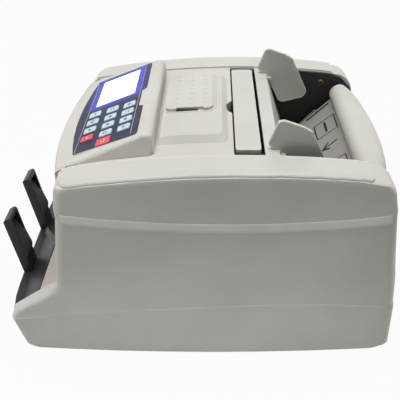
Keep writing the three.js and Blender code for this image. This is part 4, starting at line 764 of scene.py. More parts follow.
class Face:
    """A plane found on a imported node, with x and s along it and n out of it."""

    def __init__(self, node: str, toward: Vector, along: Vector = RIGHT) -> None:
        """Finds the widest flat direction of a node.

        Args:
            node: The node that has the face.
            toward: Roughly where the face looks.
            along: The direction that x follows on the face.
        """
        facing, fineness = 0.5, 50
        areas: dict[tuple[int, ...], float] = {}
        normals: dict[tuple[int, ...], Vector] = {}
        for polygon in frame["nodes"][node].data.polygons:
            if polygon.normal.dot(toward) > facing:
                key = tuple(round(part * fineness) for part in polygon.normal)
                areas[key] = areas.get(key, 0) + polygon.area
                normals.setdefault(key, polygon.normal.copy())
        self.normal = normals[max(areas, key=areas.get)].normalized()
        side = (along - self.normal * along.dot(self.normal)).normalized()
        slope = self.normal.cross(side)
        self.matrix = Matrix((side, slope, self.normal)).transposed().to_4x4()
        self.inverse = self.matrix.inverted()

    def extent(self, node: str) -> tuple[Vector, Vector]:
        """A node's lowest and highest corner, measured along the face.

        Args:
            node: The node to measure.

        Returns:
            The two corners in (x, s, n).
        """
        points = [self.inverse @ vertex.co for vertex in frame["nodes"][node].data.vertices]
        low = Vector(min(point[i] for point in points) for i in range(3))
        high = Vector(max(point[i] for point in points) for i in range(3))
        return low, high

    def at(self, x: float, s: float, n: float) -> Vector:
        """The place in the model's frame of a point on the face."""
        return self.matrix @ Vector((x, s, n))


class Skin:
    """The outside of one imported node, for laying pieces on it."""

    def __init__(self, node: str) -> None:
        """Keeps the node's surface in a tree that rays can be shot at."""
        mesh = frame["nodes"][node].data
        corners, faces = [v.co for v in mesh.vertices], [p.vertices[:] for p in mesh.polygons]
        self.tree = BVHTree.FromPolygons(corners, faces)

    def hit(self, start: Vector, direction: Vector) -> tuple[Vector, Vector] | None:
        """Where a ray meets the node.

        Args:
            start: Where the ray starts.
            direction: Where it goes.

        Returns:
            The place and the surface's normal there, or None.
        """
        place, normal, _, _ = self.tree.ray_cast(start, direction)
        return None if place is None else (place, normal)


def circle(steps: int) -> list[Point]:
    """The points of a circle of radius 1, anticlockwise.

    Args:
        steps: How many points.

    Returns:
        The points, from (1, 0) on.
    """
    return [(math.cos(2 * math.pi * i / steps), math.sin(2 * math.pi * i / steps)) for i in range(steps)]


class Shape:
    """A mesh in the making."""

    def __init__(self) -> None:
        """Starts with an empty mesh."""
        self.bm = bmesh.new()

    def block(self, low: Vector, high: Vector, matrix: Matrix | None = None) -> "Shape":
        """Adds a block.

        Args:
            low: Its lowest corner.
            high: Its highest corner.
            matrix: Where the block's own axes lie.

        Returns:
            This shape.
        """
        centre, size = (low + high) / 2, high - low
        for vertex in bmesh.ops.create_cube(self.bm, size=1)["verts"]:
            corner = Vector(vertex.co[i] * size[i] + centre[i] for i in range(3))
            vertex.co = corner if matrix is None else matrix @ corner
        return self

    def plate(
        self, outline: Sequence[Point], low: float, high: float, matrix: Matrix | None = None
    ) -> "Shape":
        """Adds a flat plate of any outline.

        Args:
            outline: Its corners in order.
            low: The lower face's height.
            high: The upper face's height.
            matrix: Where the plate's own axes lie.

        Returns:
            This shape.
        """
        matrix = matrix or Matrix.Identity(4)
        return self.stack([[matrix @ Vector((x, y, n)) for x, y in outline] for n in (low, high)])

    def stack(self, rings: Sequence[Sequence[Vector]]) -> "Shape":
        """Adds a closed body through rings of points, one above the other.

        Args:
            rings: The rings from the lowest up, all with as many points.

        Returns:
            This shape.
        """
        made = [[self.bm.verts.new(point) for point in ring] for ring in rings]
        for lower, upper in zip(made, made[1:]):
            self._skirt(lower, upper)
        self.bm.faces.new(made[0][::-1])
        self.bm.faces.new(made[-1])
        return self

    def _skirt(self, lower: Sequence[bmesh.types.BMVert], upper: Sequence[bmesh.types.BMVert]) -> None:
        """Closes the side between two rings."""
        count = len(lower)
        for i in range(count):
            j = (i + 1) % count
            self.bm.faces.new((lower[i], lower[j], upper[j], upper[i]))

    def turned(self, profile: Sequence[Point], centre: Vector, axis: Vector, steps: int) -> "Shape":
        """Adds a body turned about an axis.

        Args:
            profile: Pairs of radius and height, with radius 0 at both ends.
            centre: Where height 0 lies.
            axis: The direction of height.
            steps: How many steps round it.

        Returns:
            This shape.
        """
        turn = axis.normalized().to_track_quat("Z", "Y").to_matrix()
        rings = [
            [
                self.bm.verts.new(centre + turn @ Vector((radius * x, radius * y, height)))
                for x, y in (circle(steps) if radius else [(0, 0)])
            ]
            for radius, height in profile
        ]
        for lower, upper in zip(rings, rings[1:]):
            for i in range(steps):
                j = (i + 1) % steps
                below, above = len(lower), len(upper)
                corners = [lower[i % below], lower[j % below], upper[j % above], upper[i % above]]
                self.bm.faces.new(list(dict.fromkeys(corners)))
        return self

    def tube(self, path: Sequence[Vector], radius: float, steps: int = 8) -> "Shape":
        """Adds a round tube along a closed path.

        Args:
            path: The points that it follows, back to the first.
            radius: Its radius.
            steps: How many steps round it.

        Returns:
            This shape.
        """
        rings = []
        count = len(path)
        round_it = circle(steps)
        side: Vector | None = None
        for i, point in enumerate(path):
            forward = (path[(i + 1) % count] - path[i - 1]).normalized()
            side = forward.orthogonal() if side is None else side - forward * side.dot(forward)
            side.normalize()
            other = forward.cross(side)
            rings.append([self.bm.verts.new(point + radius * (side * x + other * y)) for x, y in round_it])
        for lower, upper in zip(rings, rings[1:] + rings[:1]):
            self._skirt(lower, upper)
        return self

    def slab(self, rows: Sequence[Sequence[tuple[Vector, Vector]]]) -> "Shape":
        """Adds a closed slab between two grids of points.

        Args:
            rows: Rows of pairs of a top point and the bottom point under it.

        Returns:
            This shape.
        """
        tops = [[self.bm.verts.new(top) for top, _ in row] for row in rows]
        feet = [[self.bm.verts.new(foot) for _, foot in row] for row in rows]
        for grid, turned in ((tops, False), (feet, True)):
            for first, second in zip(grid, grid[1:]):
                for i in range(len(first) - 1):
                    corners = [first[i], second[i], second[i + 1], first[i + 1]]
                    self.bm.faces.new(corners[::-1] if turned else corners)
        over, under = (
            grid[0] + [row[-1] for row in grid[1:-1]] + grid[-1][::-1] + [row[0] for row in grid[1:-1]][::-1]
            for grid in (tops, feet)
        )
        self._skirt(under, over)
        return self

    def finish(
        self, name: str, material: bpy.types.Material, slot: str, body: str = CASING, smooth: float = 35
    ) -> bpy.types.Object:
        """Makes the object and sets it riding.

        Args:
            name: The piece's name.
            material: Its finish.
            slot: Not used.
            body: The CAD body that carries it.
            smooth: Edges that turn by more than this, in degrees, stay sharp.

        Returns:
            The new object.
        """
        bmesh.ops.remove_doubles(self.bm, verts=self.bm.verts, dist=WELD)
        bmesh.ops.recalc_face_normals(self.bm, faces=self.bm.faces)
        mesh = bpy.data.meshes.new(name)
        self.bm.to_mesh(mesh)
        self.bm.free()
        mesh.materials.append(material)
        mesh.shade_smooth()
        mesh.set_sharp_from_angle(angle=math.radians(smooth))
        piece = bpy.data.objects.new(name, mesh)
        bpy.context.scene.collection.objects.link(piece)
        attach(piece, body)
        log.info("piece: %s on %s", name, body)
        return piece


def rounded_rectangle(
    low: Sequence[float], high: Sequence[float], radius: float, steps: int = 5
) -> list[Point]:
    """The outline of a rectangle with round corners.

    Args:
        low: Its lowest corner.
        high: Its highest corner.
        radius: The radius of its corners.
        steps: How many steps round a corner.

    Returns:
        The outline, anticlockwise.
    """
    centres = (
        (high[0] - radius, high[1] - radius), (low[0] + radius, high[1] - radius),
        (low[0] + radius, low[1] + radius), (high[0] - radius, low[1] + radius),
    )
    outline = []
    for quarter, (x, y) in enumerate(centres):
        for i in range(steps + 1):
            turn = math.pi / 2 * (quarter + i / steps)
            outline.append((x + radius * math.cos(turn), y + radius * math.sin(turn)))
    return outline


def rim(node: str, normal: Vector, near: float = 0.3 * MM) -> list[Vector]:
    """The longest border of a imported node's outermost face.

    Args:
        node: The node.
        normal: Where the face looks.
        near: How far under the outermost point the face may lie.

    Returns:
        The border's points in order.
    """
    parallel, digits = 0.98, 6
    mesh = frame["nodes"][node].data
    level = max(vertex.co.dot(normal) for vertex in mesh.vertices)
    edges: dict[tuple[tuple[float, ...], tuple[float, ...]], None] = {}
    for polygon in mesh.polygons:
        corners = [mesh.vertices[i].co for i in polygon.vertices]
        if polygon.normal.dot(normal) > parallel and min(c.dot(normal) for c in corners) > level - near:
            keys = [tuple(round(part, digits) for part in corner) for corner in corners]
            for first, second in zip(keys, keys[1:] + keys[:1]):
                if (second, first) in edges:
                    del edges[second, first]
                else:
                    edges[first, second] = None
    following = dict(edges.keys())
    loops: list[list[Vector]] = []
    while following:
        start = next(iter(following))
        loop, point = [], start
        while point in following:
            loop.append(Vector(point))
            point = following.pop(point)
        loops.append(loop)
    return max(loops, key=lambda loop: sum((a - b).length for a, b in zip(loop, loop[1:] + loop[:1])))


def even_shading(piece: bpy.types.Object) -> bpy.types.Modifier:
    """Adds the modifier that shades wide faces evenly up to their round edges."""
    shading = piece.modifiers.new("even_shading", "WEIGHTED_NORMAL")
    shading.weight = 80
    return shading


def soften(node: str, material: bpy.types.Material, radius: float, steps: int = 2, angle: float = 32) -> None:
    """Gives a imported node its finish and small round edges.

    Args:
        node: The node.
        material: Its finish.
        radius: The radius of its edges, 0 for none.
        steps: How many steps round an edge.
        angle: Edges that turn by more than this, in degrees, are rounded.
    """
    piece = frame["nodes"][node]
    piece.data.materials.clear()
    piece.data.materials.append(material)
    if "custom_normal" in piece.data.attributes:
        piece.data.attributes.remove(piece.data.attributes["custom_normal"])
    if radius > 0:
        piece.data.shade_smooth()
        weld = piece.modifiers.new("weld", "WELD")
        weld.merge_threshold = WELD
        bevel = piece.modifiers.new("round_edges", "BEVEL")
        bevel.width = radius
        bevel.segments = steps
        bevel.limit_method = "ANGLE"
        bevel.angle_limit = math.radians(angle)
        bevel.use_clamp_overlap = True
        even_shading(piece)
    log.info("node: %s", node)


@dataclass
class Casing:
    """The covers, the base and the feet, with the raised strips on the ledges and the belts below them."""

    palette: Palette
    strip_rise: float = 1.5 * MM
    strip_inset: float = 0.4 * MM
    strip_front_corner: float = 10 * MM
    strip_rear_corner: float = 4 * MM
    strip_front: float = 14.5 * MM
    strip_rear: float = 30 * MM
    strip_round: float = 1.8 * MM
    strip_least: float = 0.35
    strip_crowding: float = 0.9
    belt_front: float = 13.5 * MM
    belt_rear: float = 12 * MM
    belt_low: float = 123.7 * MM
    belt_bow: float = 5.5 * MM
    belt_middle: float = 16 * MM
    belt_span: float = 112 * MM
    belt_half: float = 3.4 * MM
    belt_proud: float = 0.4 * MM
    belt_fade: float = 6 * MM
    belt_section: tuple[Point, ...] = (
        (-1, 0.0), (-0.82, 0.5), (-0.5, 0.55), (0, 0.6), (0.5, 0.8), (0.78, 1.0), (0.93, 0.75), (1, 0.0)
    )
    sunk: float = 0.4 * MM
    seam_gap: float = 0.9 * MM
    stations: int = 72
    across: int = 6
    round_steps: int = 4
    edge_from: float = 5 * MM
    edge_step: float = 0.5 * MM
    level_enough: float = 0.7
    screw_radius: float = 3 * MM
    screw_drop: float = 0.1 * MM
    screw_depth: float = 0.3 * MM
    screw_steps: int = 20
    cover_edge: float = 0.5 * MM
    cover_side_angle: float = 40
    pan_edge: float = 0.3 * MM
    foot_edge: float = 0.8 * MM

    def build(self) -> None:
        """Dresses the covers and adds the strips, the belts and the screws."""
        for _, name in SIDES:
            soften(
                f"side_cover_{name}", self.palette.casing, self.cover_edge, angle=self.cover_side_angle
            )
        soften("top_cover", self.palette.casing, self.cover_edge)
        soften("base_pan", self.palette.zinc, self.pan_edge)
        for end in ("front", "rear"):
            for _, name in SIDES:
                soften(f"foot_{end}_{name}", self.palette.rubber, self.foot_edge, steps=3)
                self._foot_screw(end, name)
        for side, name in SIDES:
            self._strip(side, name)
            self._belt(side, name)

    def _foot_screw(self, end: str, name: str) -> None:
        """Adds the low screw head, half of it proud, under the foot at one end of one side."""
        low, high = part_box(f"foot_{end}_{name}")
        centre = Vector(((low.x + high.x) / 2, (low.y + high.y) / 2, low.z + self.screw_drop))
        levels = (-self.screw_depth, self.screw_drop)
        profile = [(0, levels[0]), *((self.screw_radius, level) for level in levels), (0, levels[1])]
        Shape().turned(profile, centre, UP, self.screw_steps).finish(
            f"foot_screw_{end}_{name}", self.palette.steel, "bright_steel"
        )

    def _outer_edge(self, skin: Skin, side: int, y: float, start: float, top: float) -> float:
        """The distance from the middle at which a ledge turns down.

        Args:
            skin: The side cover's surface.
            side: 1 for the right cover, -1 for the left one.
            y: The station.
            start: The first distance that is tried.
            top: A height above the cover.

        Returns:
            The distance from the middle.
        """
        distance = start
        while True:
            found = skin.hit(Vector((side * (distance + self.edge_step), y, top)), -UP)
            if found is None or found[1].z < self.level_enough:
                return distance
            distance += self.edge_step

    def _corner_draw(self, y: float, front: float, rear: float) -> float:
        """How far the strip's outer edge draws in at a station near its ends."""
        for room, corner in ((y - front, self.strip_front_corner), (rear - y, self.strip_rear_corner)):
            if room < corner:
                return corner - math.sqrt(max(0.0, corner**2 - (corner - room) ** 2))
        return 0.0

    def _strip(self, side: int, name: str) -> None:
        """Adds the raised strip along the top of one ledge.

        Args:
            side: 1 for the right cover, -1 for the left one.
            name: The side's name.
        """
        skin = Skin(f"side_cover_{name}")
        low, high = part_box(f"side_cover_{name}")
        inner = min(abs(low.x), abs(high.x)) + self.seam_gap
        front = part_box("control_pod")[0].y + self.strip_front
        rear = high.y - self.strip_rear
        top = high.z + CLEAR
        rows = []
        for i in range(self.stations + 1):
            share = i / self.stations
            eased = share - math.sin(2 * math.pi * share) / (2 * math.pi) * self.strip_crowding
            y = front + (rear - front) * eased
            room = min(1.0, min(y - front, rear - y) / self.strip_round)
            end_turn = math.sqrt(max(0.0, 1 - (1 - room) ** 2))
            outer = self._outer_edge(skin, side, y, inner + self.edge_from, top) - self.strip_inset
            flat = outer - self._corner_draw(y, front, rear) - self.strip_round
            places = [(inner + (flat - inner) * k / self.across, 1.0) for k in range(self.across + 1)]
            for k in range(1, self.round_steps + 1):
                turn = math.pi / 2 * k / self.round_steps
                places.append((flat + self.strip_round * math.sin(turn), math.cos(turn)))
            row = []
            for distance, edge_turn in places:
                found = skin.hit(Vector((side * distance, y, top)), -UP)
                ground = found[0] if found else Vector((side * distance, y, high.z))
                rise = self.strip_rise * (self.strip_least + (1 - self.strip_least) * edge_turn * end_turn)
                row.append((ground + UP * rise, ground - UP * self.sunk))
            rows.append(row if side < 0 else row[::-1])
        Shape().slab(rows).finish(f"ledge_strip_{name}", self.palette.strip, "casing", smooth=28)

    def _belt(self, side: int, name: str) -> None:
        """Adds the low band that bows along one side below the ledge.

        Args:
            side: 1 for the right cover, -1 for the left one.
            name: The side's name.
        """
        skin = Skin(f"side_cover_{name}")
        low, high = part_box(f"side_cover_{name}")
        wall = max(abs(low.x), abs(high.x))
        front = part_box("control_pod")[0].y + self.belt_front
        rear = high.y - self.belt_rear
        outward = RIGHT * side
        rows = []
        for i in range(self.stations + 1):
            y = front + (rear - front) * i / self.stations
            middle = self.belt_low + self.belt_bow * ((y - self.belt_middle) / self.belt_span) ** 2
            end = min(1.0, min(y - front, rear - y) / self.belt_fade)
            row = []
            for share, proud in self.belt_section:
                z = middle + share * self.belt_half
                found = skin.hit(Vector((side * (wall + CLEAR), y, z)), -outward)
                ground = found[0] if found else Vector((side * wall, y, z))
                row.append((ground + outward * proud * end * self.belt_proud, ground - outward * self.sunk))
            rows.append(row)
        Shape().slab(rows).finish(f"side_belt_{name}", self.palette.casing, "casing", smooth=50)


class Mark(Enum):
    """The generic signs printed on the keys."""

    BAR = "bar"
    PLUS = "plus"
    MINUS = "minus"
    UP = "up"
    DOWN = "down"
    RING = "ring"
    TWO_BARS = "two bars"
    DIAMOND = "diamond"


@dataclass
class ControlPod:
    """The pod with its film, lit window and thirteen keys."""

    palette: Palette
    rim_radius: float = 0.55 * MM
    line_half: float = 0.28 * MM
    line_offset: float = 23.5 * MM
    line_inset_left: float = 4.5 * MM
    line_inset_right: float = 6 * MM
    bezel: float = 0.5 * MM
    bezel_corner: float = 1.5 * MM
    key_edge: float = 0.55 * MM
    key_corner: float = 1.5 * MM
    key_least_corner: float = 0.6 * MM
    key_turn: Point = (0.3, 0.35)
    dish_rim: float = 0.9 * MM
    dish_rim_drop: float = 0.05 * MM
    dish_reach: float = 2 * MM
    dish_drop: float = 0.16 * MM
    ink: float = 0.06 * MM
    ink_sunk: float = 0.02 * MM
    sign_half: float = 2.1 * MM
    sign_thick: float = 0.42 * MM
    sign_shift: float = 1.1 * MM
    sign_tip: float = 1.7 * MM
    sign_ring: float = 1.6 * MM
    sign_ring_thick: float = 0.55
    sign_ring_steps: int = 20
    bar_long: float = 1.2
    bar_short: float = 0.8
    bar_thin: float = 0.8
    shell_round: float = 2.4 * MM
    shell_steps: int = 4
    shell_angle: float = 48
    shell_up: float = 0.25
    shell_flat: float = 1
    seat_rim: float = 1 * MM
    probe: float = 0.1 * MM
    red: tuple[str, ...] = ("key_04", "key_09")
    marks: tuple[Mark, ...] = (
        Mark.MINUS, Mark.RING, Mark.UP, Mark.BAR, Mark.TWO_BARS, Mark.DIAMOND, Mark.DOWN, Mark.RING,
        Mark.TWO_BARS, Mark.PLUS, Mark.TWO_BARS, Mark.DIAMOND, Mark.UP,
    )

    def build(self) -> None:
        """Dresses the pod and builds what lies on its sloping face."""
        self.face = Face("keypad_overlay", UP)
        self._shell()
        soften("keypad_overlay", self.palette.film, 0)
        soften("display_window", self.palette.lit, 0)
        soften("keypad_board", self.palette.board, 0)
        self._rim()
        self._lines()
        self._bezel()
        for i, mark in enumerate(self.marks):
            self._key(f"key_{i + 1:02d}", mark)

    def _shell(self) -> None:
        """Builds the pod again from its node, with wide soft edges and a crisp seat for the film."""
        shape = Shape()
        bm = shape.bm
        bm.from_mesh(frame["nodes"]["control_pod"].data)
        bmesh.ops.remove_doubles(bm, verts=bm.verts, dist=WELD)
        flat = math.radians(self.shell_flat)
        bmesh.ops.dissolve_limit(bm, angle_limit=flat, verts=bm.verts, edges=bm.edges)
        tree = BVHTree.FromBMesh(bm)
        low, high = self.face.extent("keypad_overlay")
        sharp = math.radians(self.shell_angle)
        outside = []
        for edge in bm.edges:
            if len(edge.link_faces) != 2 or not edge.is_convex or edge.calc_face_angle(0) < sharp:
                continue
            middle = (edge.verts[0].co + edge.verts[1].co) / 2
            way = (edge.link_faces[0].normal + edge.link_faces[1].normal).normalized()
            place = self.face.inverse @ middle
            seat = all(low[i] - self.seat_rim < place[i] < high[i] + self.seat_rim for i in (0, 1))
            free = tree.ray_cast(middle + way * self.probe, way)[0] is None
            if way.z > self.shell_up and free and not seat:
                outside.append(edge)
        bmesh.ops.bevel(
            bm, geom=outside, offset=self.shell_round, segments=self.shell_steps, profile=0.5, affect="EDGES",
            clamp_overlap=False,
        )
        shell = shape.finish("pod_shell", self.palette.casing, "casing", smooth=32)
        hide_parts("control_pod")
        even_shading(shell).keep_sharp = True
        log.info("pod: %d soft edges", len(outside))

    def _rim(self) -> None:
        """Adds the pale raised edge round the film."""
        drop = self.face.normal * self.rim_radius / 2
        path = [point - drop for point in rim("keypad_overlay", self.face.normal)]
        Shape().tube(path, self.rim_radius).finish("overlay_rim", self.palette.casing, "casing")

    def _lines(self) -> None:
        """Adds the two silver lines printed along the film."""
        low, high = self.face.extent("keypad_overlay")
        window = self.face.extent("display_window")
        middle = (window[0].y + window[1].y) / 2
        start, end = low.x + self.line_inset_left, high.x - self.line_inset_right
        for name, side in (("front", -1), ("rear", 1)):
            s = middle + side * self.line_offset
            near = Vector((start, s - self.line_half, high.z - self.ink))
            far = Vector((end, s + self.line_half, high.z + self.ink))
            Shape().block(near, far, self.face.matrix).finish(
                f"silver_line_{name}", self.palette.silver_ink, "overlay_film"
            )

    def _bezel(self) -> None:
        """Adds the thin dark frame round the lit window."""
        low, high = self.face.extent("display_window")
        level = self.face.extent("keypad_overlay")[1].z
        path = [self.face.at(x, s, level) for x, s in rounded_rectangle(low, high, self.bezel_corner)]
        Shape().tube(path, self.bezel / 2, steps=6).finish("window_bezel", self.palette.film, "overlay_film")

    def _key(self, node: str, mark: Mark) -> None:
        """Builds one key cap with its sign.

        Args:
            node: The key's node.
            mark: The sign on it.
        """
        low, high = self.face.extent(node)
        edge = self.key_edge
        turn_in, turn_down = self.key_turn
        rings = []
        for inset, n in (
            (0, low.z), (0, high.z - edge), (edge * turn_in, high.z - edge * turn_down), (edge, high.z),
            (edge + self.dish_rim, high.z - self.dish_rim_drop),
            (edge + self.dish_reach, high.z - self.dish_drop),
        ):
            corner = max(self.key_corner - inset, self.key_least_corner)
            outline = rounded_rectangle(
                (low.x + inset, low.y + inset), (high.x - inset, high.y - inset), corner, steps=4
            )
            rings.append([self.face.at(x, s, n) for x, s in outline])
        finish, ink, slot = self.palette.key, self.palette.ink, "key_pale"
        if node in self.red:
            finish, ink, slot = self.palette.key_red, self.palette.pale_ink, "key_red"
        body = f"{node}_cap"
        cap = Shape().stack(rings).finish(f"{node}_top", finish, slot, body, smooth=50)
        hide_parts(node)
        centre = ((low.x + high.x) / 2, (low.y + high.y) / 2)
        self._sign(mark, centre, high.z - self.dish_drop).finish(f"{node}_sign", ink, slot, body)

    def _sign(self, mark: Mark, centre: Point, level: float) -> Shape:
        """Draws a sign on a key.

        Args:
            mark: Which sign.
            centre: The key's centre on the face.
            level: The height of the key's dish.

        Returns:
            The sign's shape.
        """
        shape = Shape()
        x, s = centre
        low, high = level - self.ink_sunk, level + self.ink
        half, thick, shift, tip = self.sign_half, self.sign_thick, self.sign_shift, self.sign_tip

        def bar(half_x: float, half_s: float, up: float = 0) -> None:
            """Adds one straight stroke."""
            near, far = (x - half_x, s - half_s + up, low), (x + half_x, s + half_s + up, high)
            shape.block(Vector(near), Vector(far), self.face.matrix)

        if mark in (Mark.BAR, Mark.MINUS, Mark.PLUS):
            bar(half, thick)
        if mark is Mark.PLUS:
            bar(thick, half)
        elif mark is Mark.TWO_BARS:
            bar(half * self.bar_long, thick * self.bar_thin, shift)
            bar(half * self.bar_short, thick * self.bar_thin, -shift)
        elif mark in (Mark.UP, Mark.DOWN):
            rise = tip if mark is Mark.UP else -tip
            outline = [(x - half, s - rise / 2), (x + half, s - rise / 2), (x, s + rise)]
            shape.plate(outline, low, high, self.face.matrix)
        elif mark is Mark.DIAMOND:
            outline = [(x - half, s), (x, s - tip), (x + half, s), (x, s + tip)]
            shape.plate(outline, low, high, self.face.matrix)
        elif mark is Mark.RING:
            radius = self.sign_ring
            points = circle(self.sign_ring_steps)
            ring = [self.face.at(x + radius * a, s + radius * b, level) for a, b in points]
            shape.tube(ring, thick * self.sign_ring_thick, steps=6)
        return shape


@dataclass
class TopDeck:
    """The carry handle in its trough, lined with black as painted shade, the access cover with its grip dots,
    and the gap knob below it.
    """

    palette: Palette
    dot_columns: int = 7
    dot_rows: int = 3
    dot_half_x: float = 1.05 * MM
    dot_half_y: float = 1.9 * MM
    dot_rise: float = 0.4 * MM
    dot_left: float = 5.2 * MM
    dot_right: float = 10.7 * MM
    dot_front: float = 9.3 * MM
    dot_rear: float = 6.4 * MM
    dot_section: tuple[Point, ...] = ((1, -0.3), (1, 0.25), (0.8, 0.7), (0.45, 0.96))
    dot_steps: int = 12
    ring_outset: float = 2.7 * MM
    ring_corner: float = 8 * MM
    ring_radius: float = 0.45 * MM
    ring_pitch: float = 6 * MM
    slot_depth: float = 2.1 * MM
    slot_outset: float = 0.6 * MM
    slot_front: float = 8.9 * MM
    slot_rear: float = 7.5 * MM
    slot_sunk: float = 1 * MM
    slot_rise: float = 0.35 * MM
    trough_front: float = 1.25 * MM
    trough_rear: float = 2.65 * MM
    trough_end: float = 6.9 * MM
    lip_drop: float = 3.2 * MM
    end_drop: float = 2.6 * MM
    shade_sheet_thickness: float = 0.05 * MM
    handle_edge: float = 0.7 * MM
    lid_edge: float = 0.6 * MM
    knob_edge: float = 0.3 * MM

    def build(self) -> None:
        """Dresses the deck and adds the dots, the ring, and the black pieces painted as shadow in the slot
        and as shade in the trough.
        """
        soften("carry_handle", self.palette.casing, self.handle_edge, steps=3)
        soften("access_cover", self.palette.casing, self.lid_edge, steps=3)
        soften("gap_knob", self.palette.black, self.knob_edge)
        self.deck = Skin("top_cover")
        self._dots()
        self._ring()
        self._slot_shadow()
        self._trough_shade()

    def _ground(self, x: float, y: float) -> Vector:
        """The top cover's highest point at a place seen from above."""
        found = self.deck.hit(Vector((x, y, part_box("top_cover")[1].z + CLEAR)), -UP)
        return found[0] if found else Vector((x, y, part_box("access_cover")[0].z))

    def _dots(self) -> None:
        """Adds the long low grip dots on the access cover."""
        low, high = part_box("access_cover")
        skin = Skin("access_cover")
        shape = Shape()
        round_it = circle(self.dot_steps)
        left, right = low.x + self.dot_left, high.x - self.dot_right
        front, rear = low.y + self.dot_front, high.y - self.dot_rear
        for i in range(self.dot_columns):
            for k in range(self.dot_rows):
                x = left + (right - left) * i / (self.dot_columns - 1)
                y = front + (rear - front) * k / (self.dot_rows - 1)
                found = skin.hit(Vector((x, y, high.z + CLEAR)), -UP)
                if found is None:
                    continue
                rings = []
                for share, rise in self.dot_section:
                    half_x, half_y = self.dot_half_x * share, self.dot_half_y * share
                    level = self.dot_rise * rise
                    rings.append([found[0] + Vector((half_x * a, half_y * b, level)) for a, b in round_it])
                shape.stack(rings)
        shape.finish("grip_dots", self.palette.casing, "casing", "access_lid", smooth=70)

    def _ring(self) -> None:
        """Adds the low ridge that runs round the access cover."""
        low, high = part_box("access_cover")
        out = self.ring_outset
        near, far = (low.x - out, low.y - out), (high.x + out, high.y + out)
        outline = rounded_rectangle(near, far, self.ring_corner, steps=8)
        path = []
        for first, second in zip(outline, outline[1:] + outline[:1]):
            steps = max(1, round(math.dist(first, second) / self.ring_pitch))
            for i in range(steps):
                x, y = (a + (b - a) * i / steps for a, b in zip(first, second))
                path.append(self._ground(x, y))
        Shape().tube(path, self.ring_radius).finish("access_ring", self.palette.casing, "casing", smooth=70)

    def _slot_shadow(self) -> None:
        """Fills the finger slot at the access cover's right edge with black, as painted shadow under the
        cover's edge.
        """
        low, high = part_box("access_cover")
        front, rear = low.y + self.slot_front, high.y - self.slot_rear
        ground = self._ground(high.x + self.ring_outset / 2, (front + rear) / 2).z
        Shape().block(
            Vector((high.x - self.slot_depth, front, ground - self.slot_sunk)),
            Vector((high.x + self.slot_outset, rear, ground + self.slot_rise)),
        ).finish("access_slot_shadow", self.palette.gap, "black_plastic")

    def _trough_shade(self) -> None:
        """Lines the handle's trough in black as painted shade: its floor, both walls and both ends."""
        low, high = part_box("carry_handle")
        front, rear = low.y - self.trough_front, high.y + self.trough_rear
        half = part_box("top_cover")[1].x - self.shade_sheet_thickness
        floor = self._ground(half / 2, low.y - self.trough_front / 2).z
        lip, end_top = high.z - self.lip_drop, high.z - self.end_drop
        end = half - self.trough_end
        for name, near, far in (
            ("floor", (-half, front, floor), (half, rear, floor + self.shade_sheet_thickness)),
            ("front", (-half, front, floor), (half, front + self.shade_sheet_thickness, lip)),
            ("rear", (-half, rear - self.shade_sheet_thickness, floor), (half, rear, lip)),
            ("end_right", (end, front, floor), (half, rear, end_top)),
            ("end_left", (-half, front, floor), (-end, rear, end_top)),
        ):
            Shape().block(Vector(near), Vector(far)).finish(
                f"trough_{name}", self.palette.gap, "black_plastic"
            )


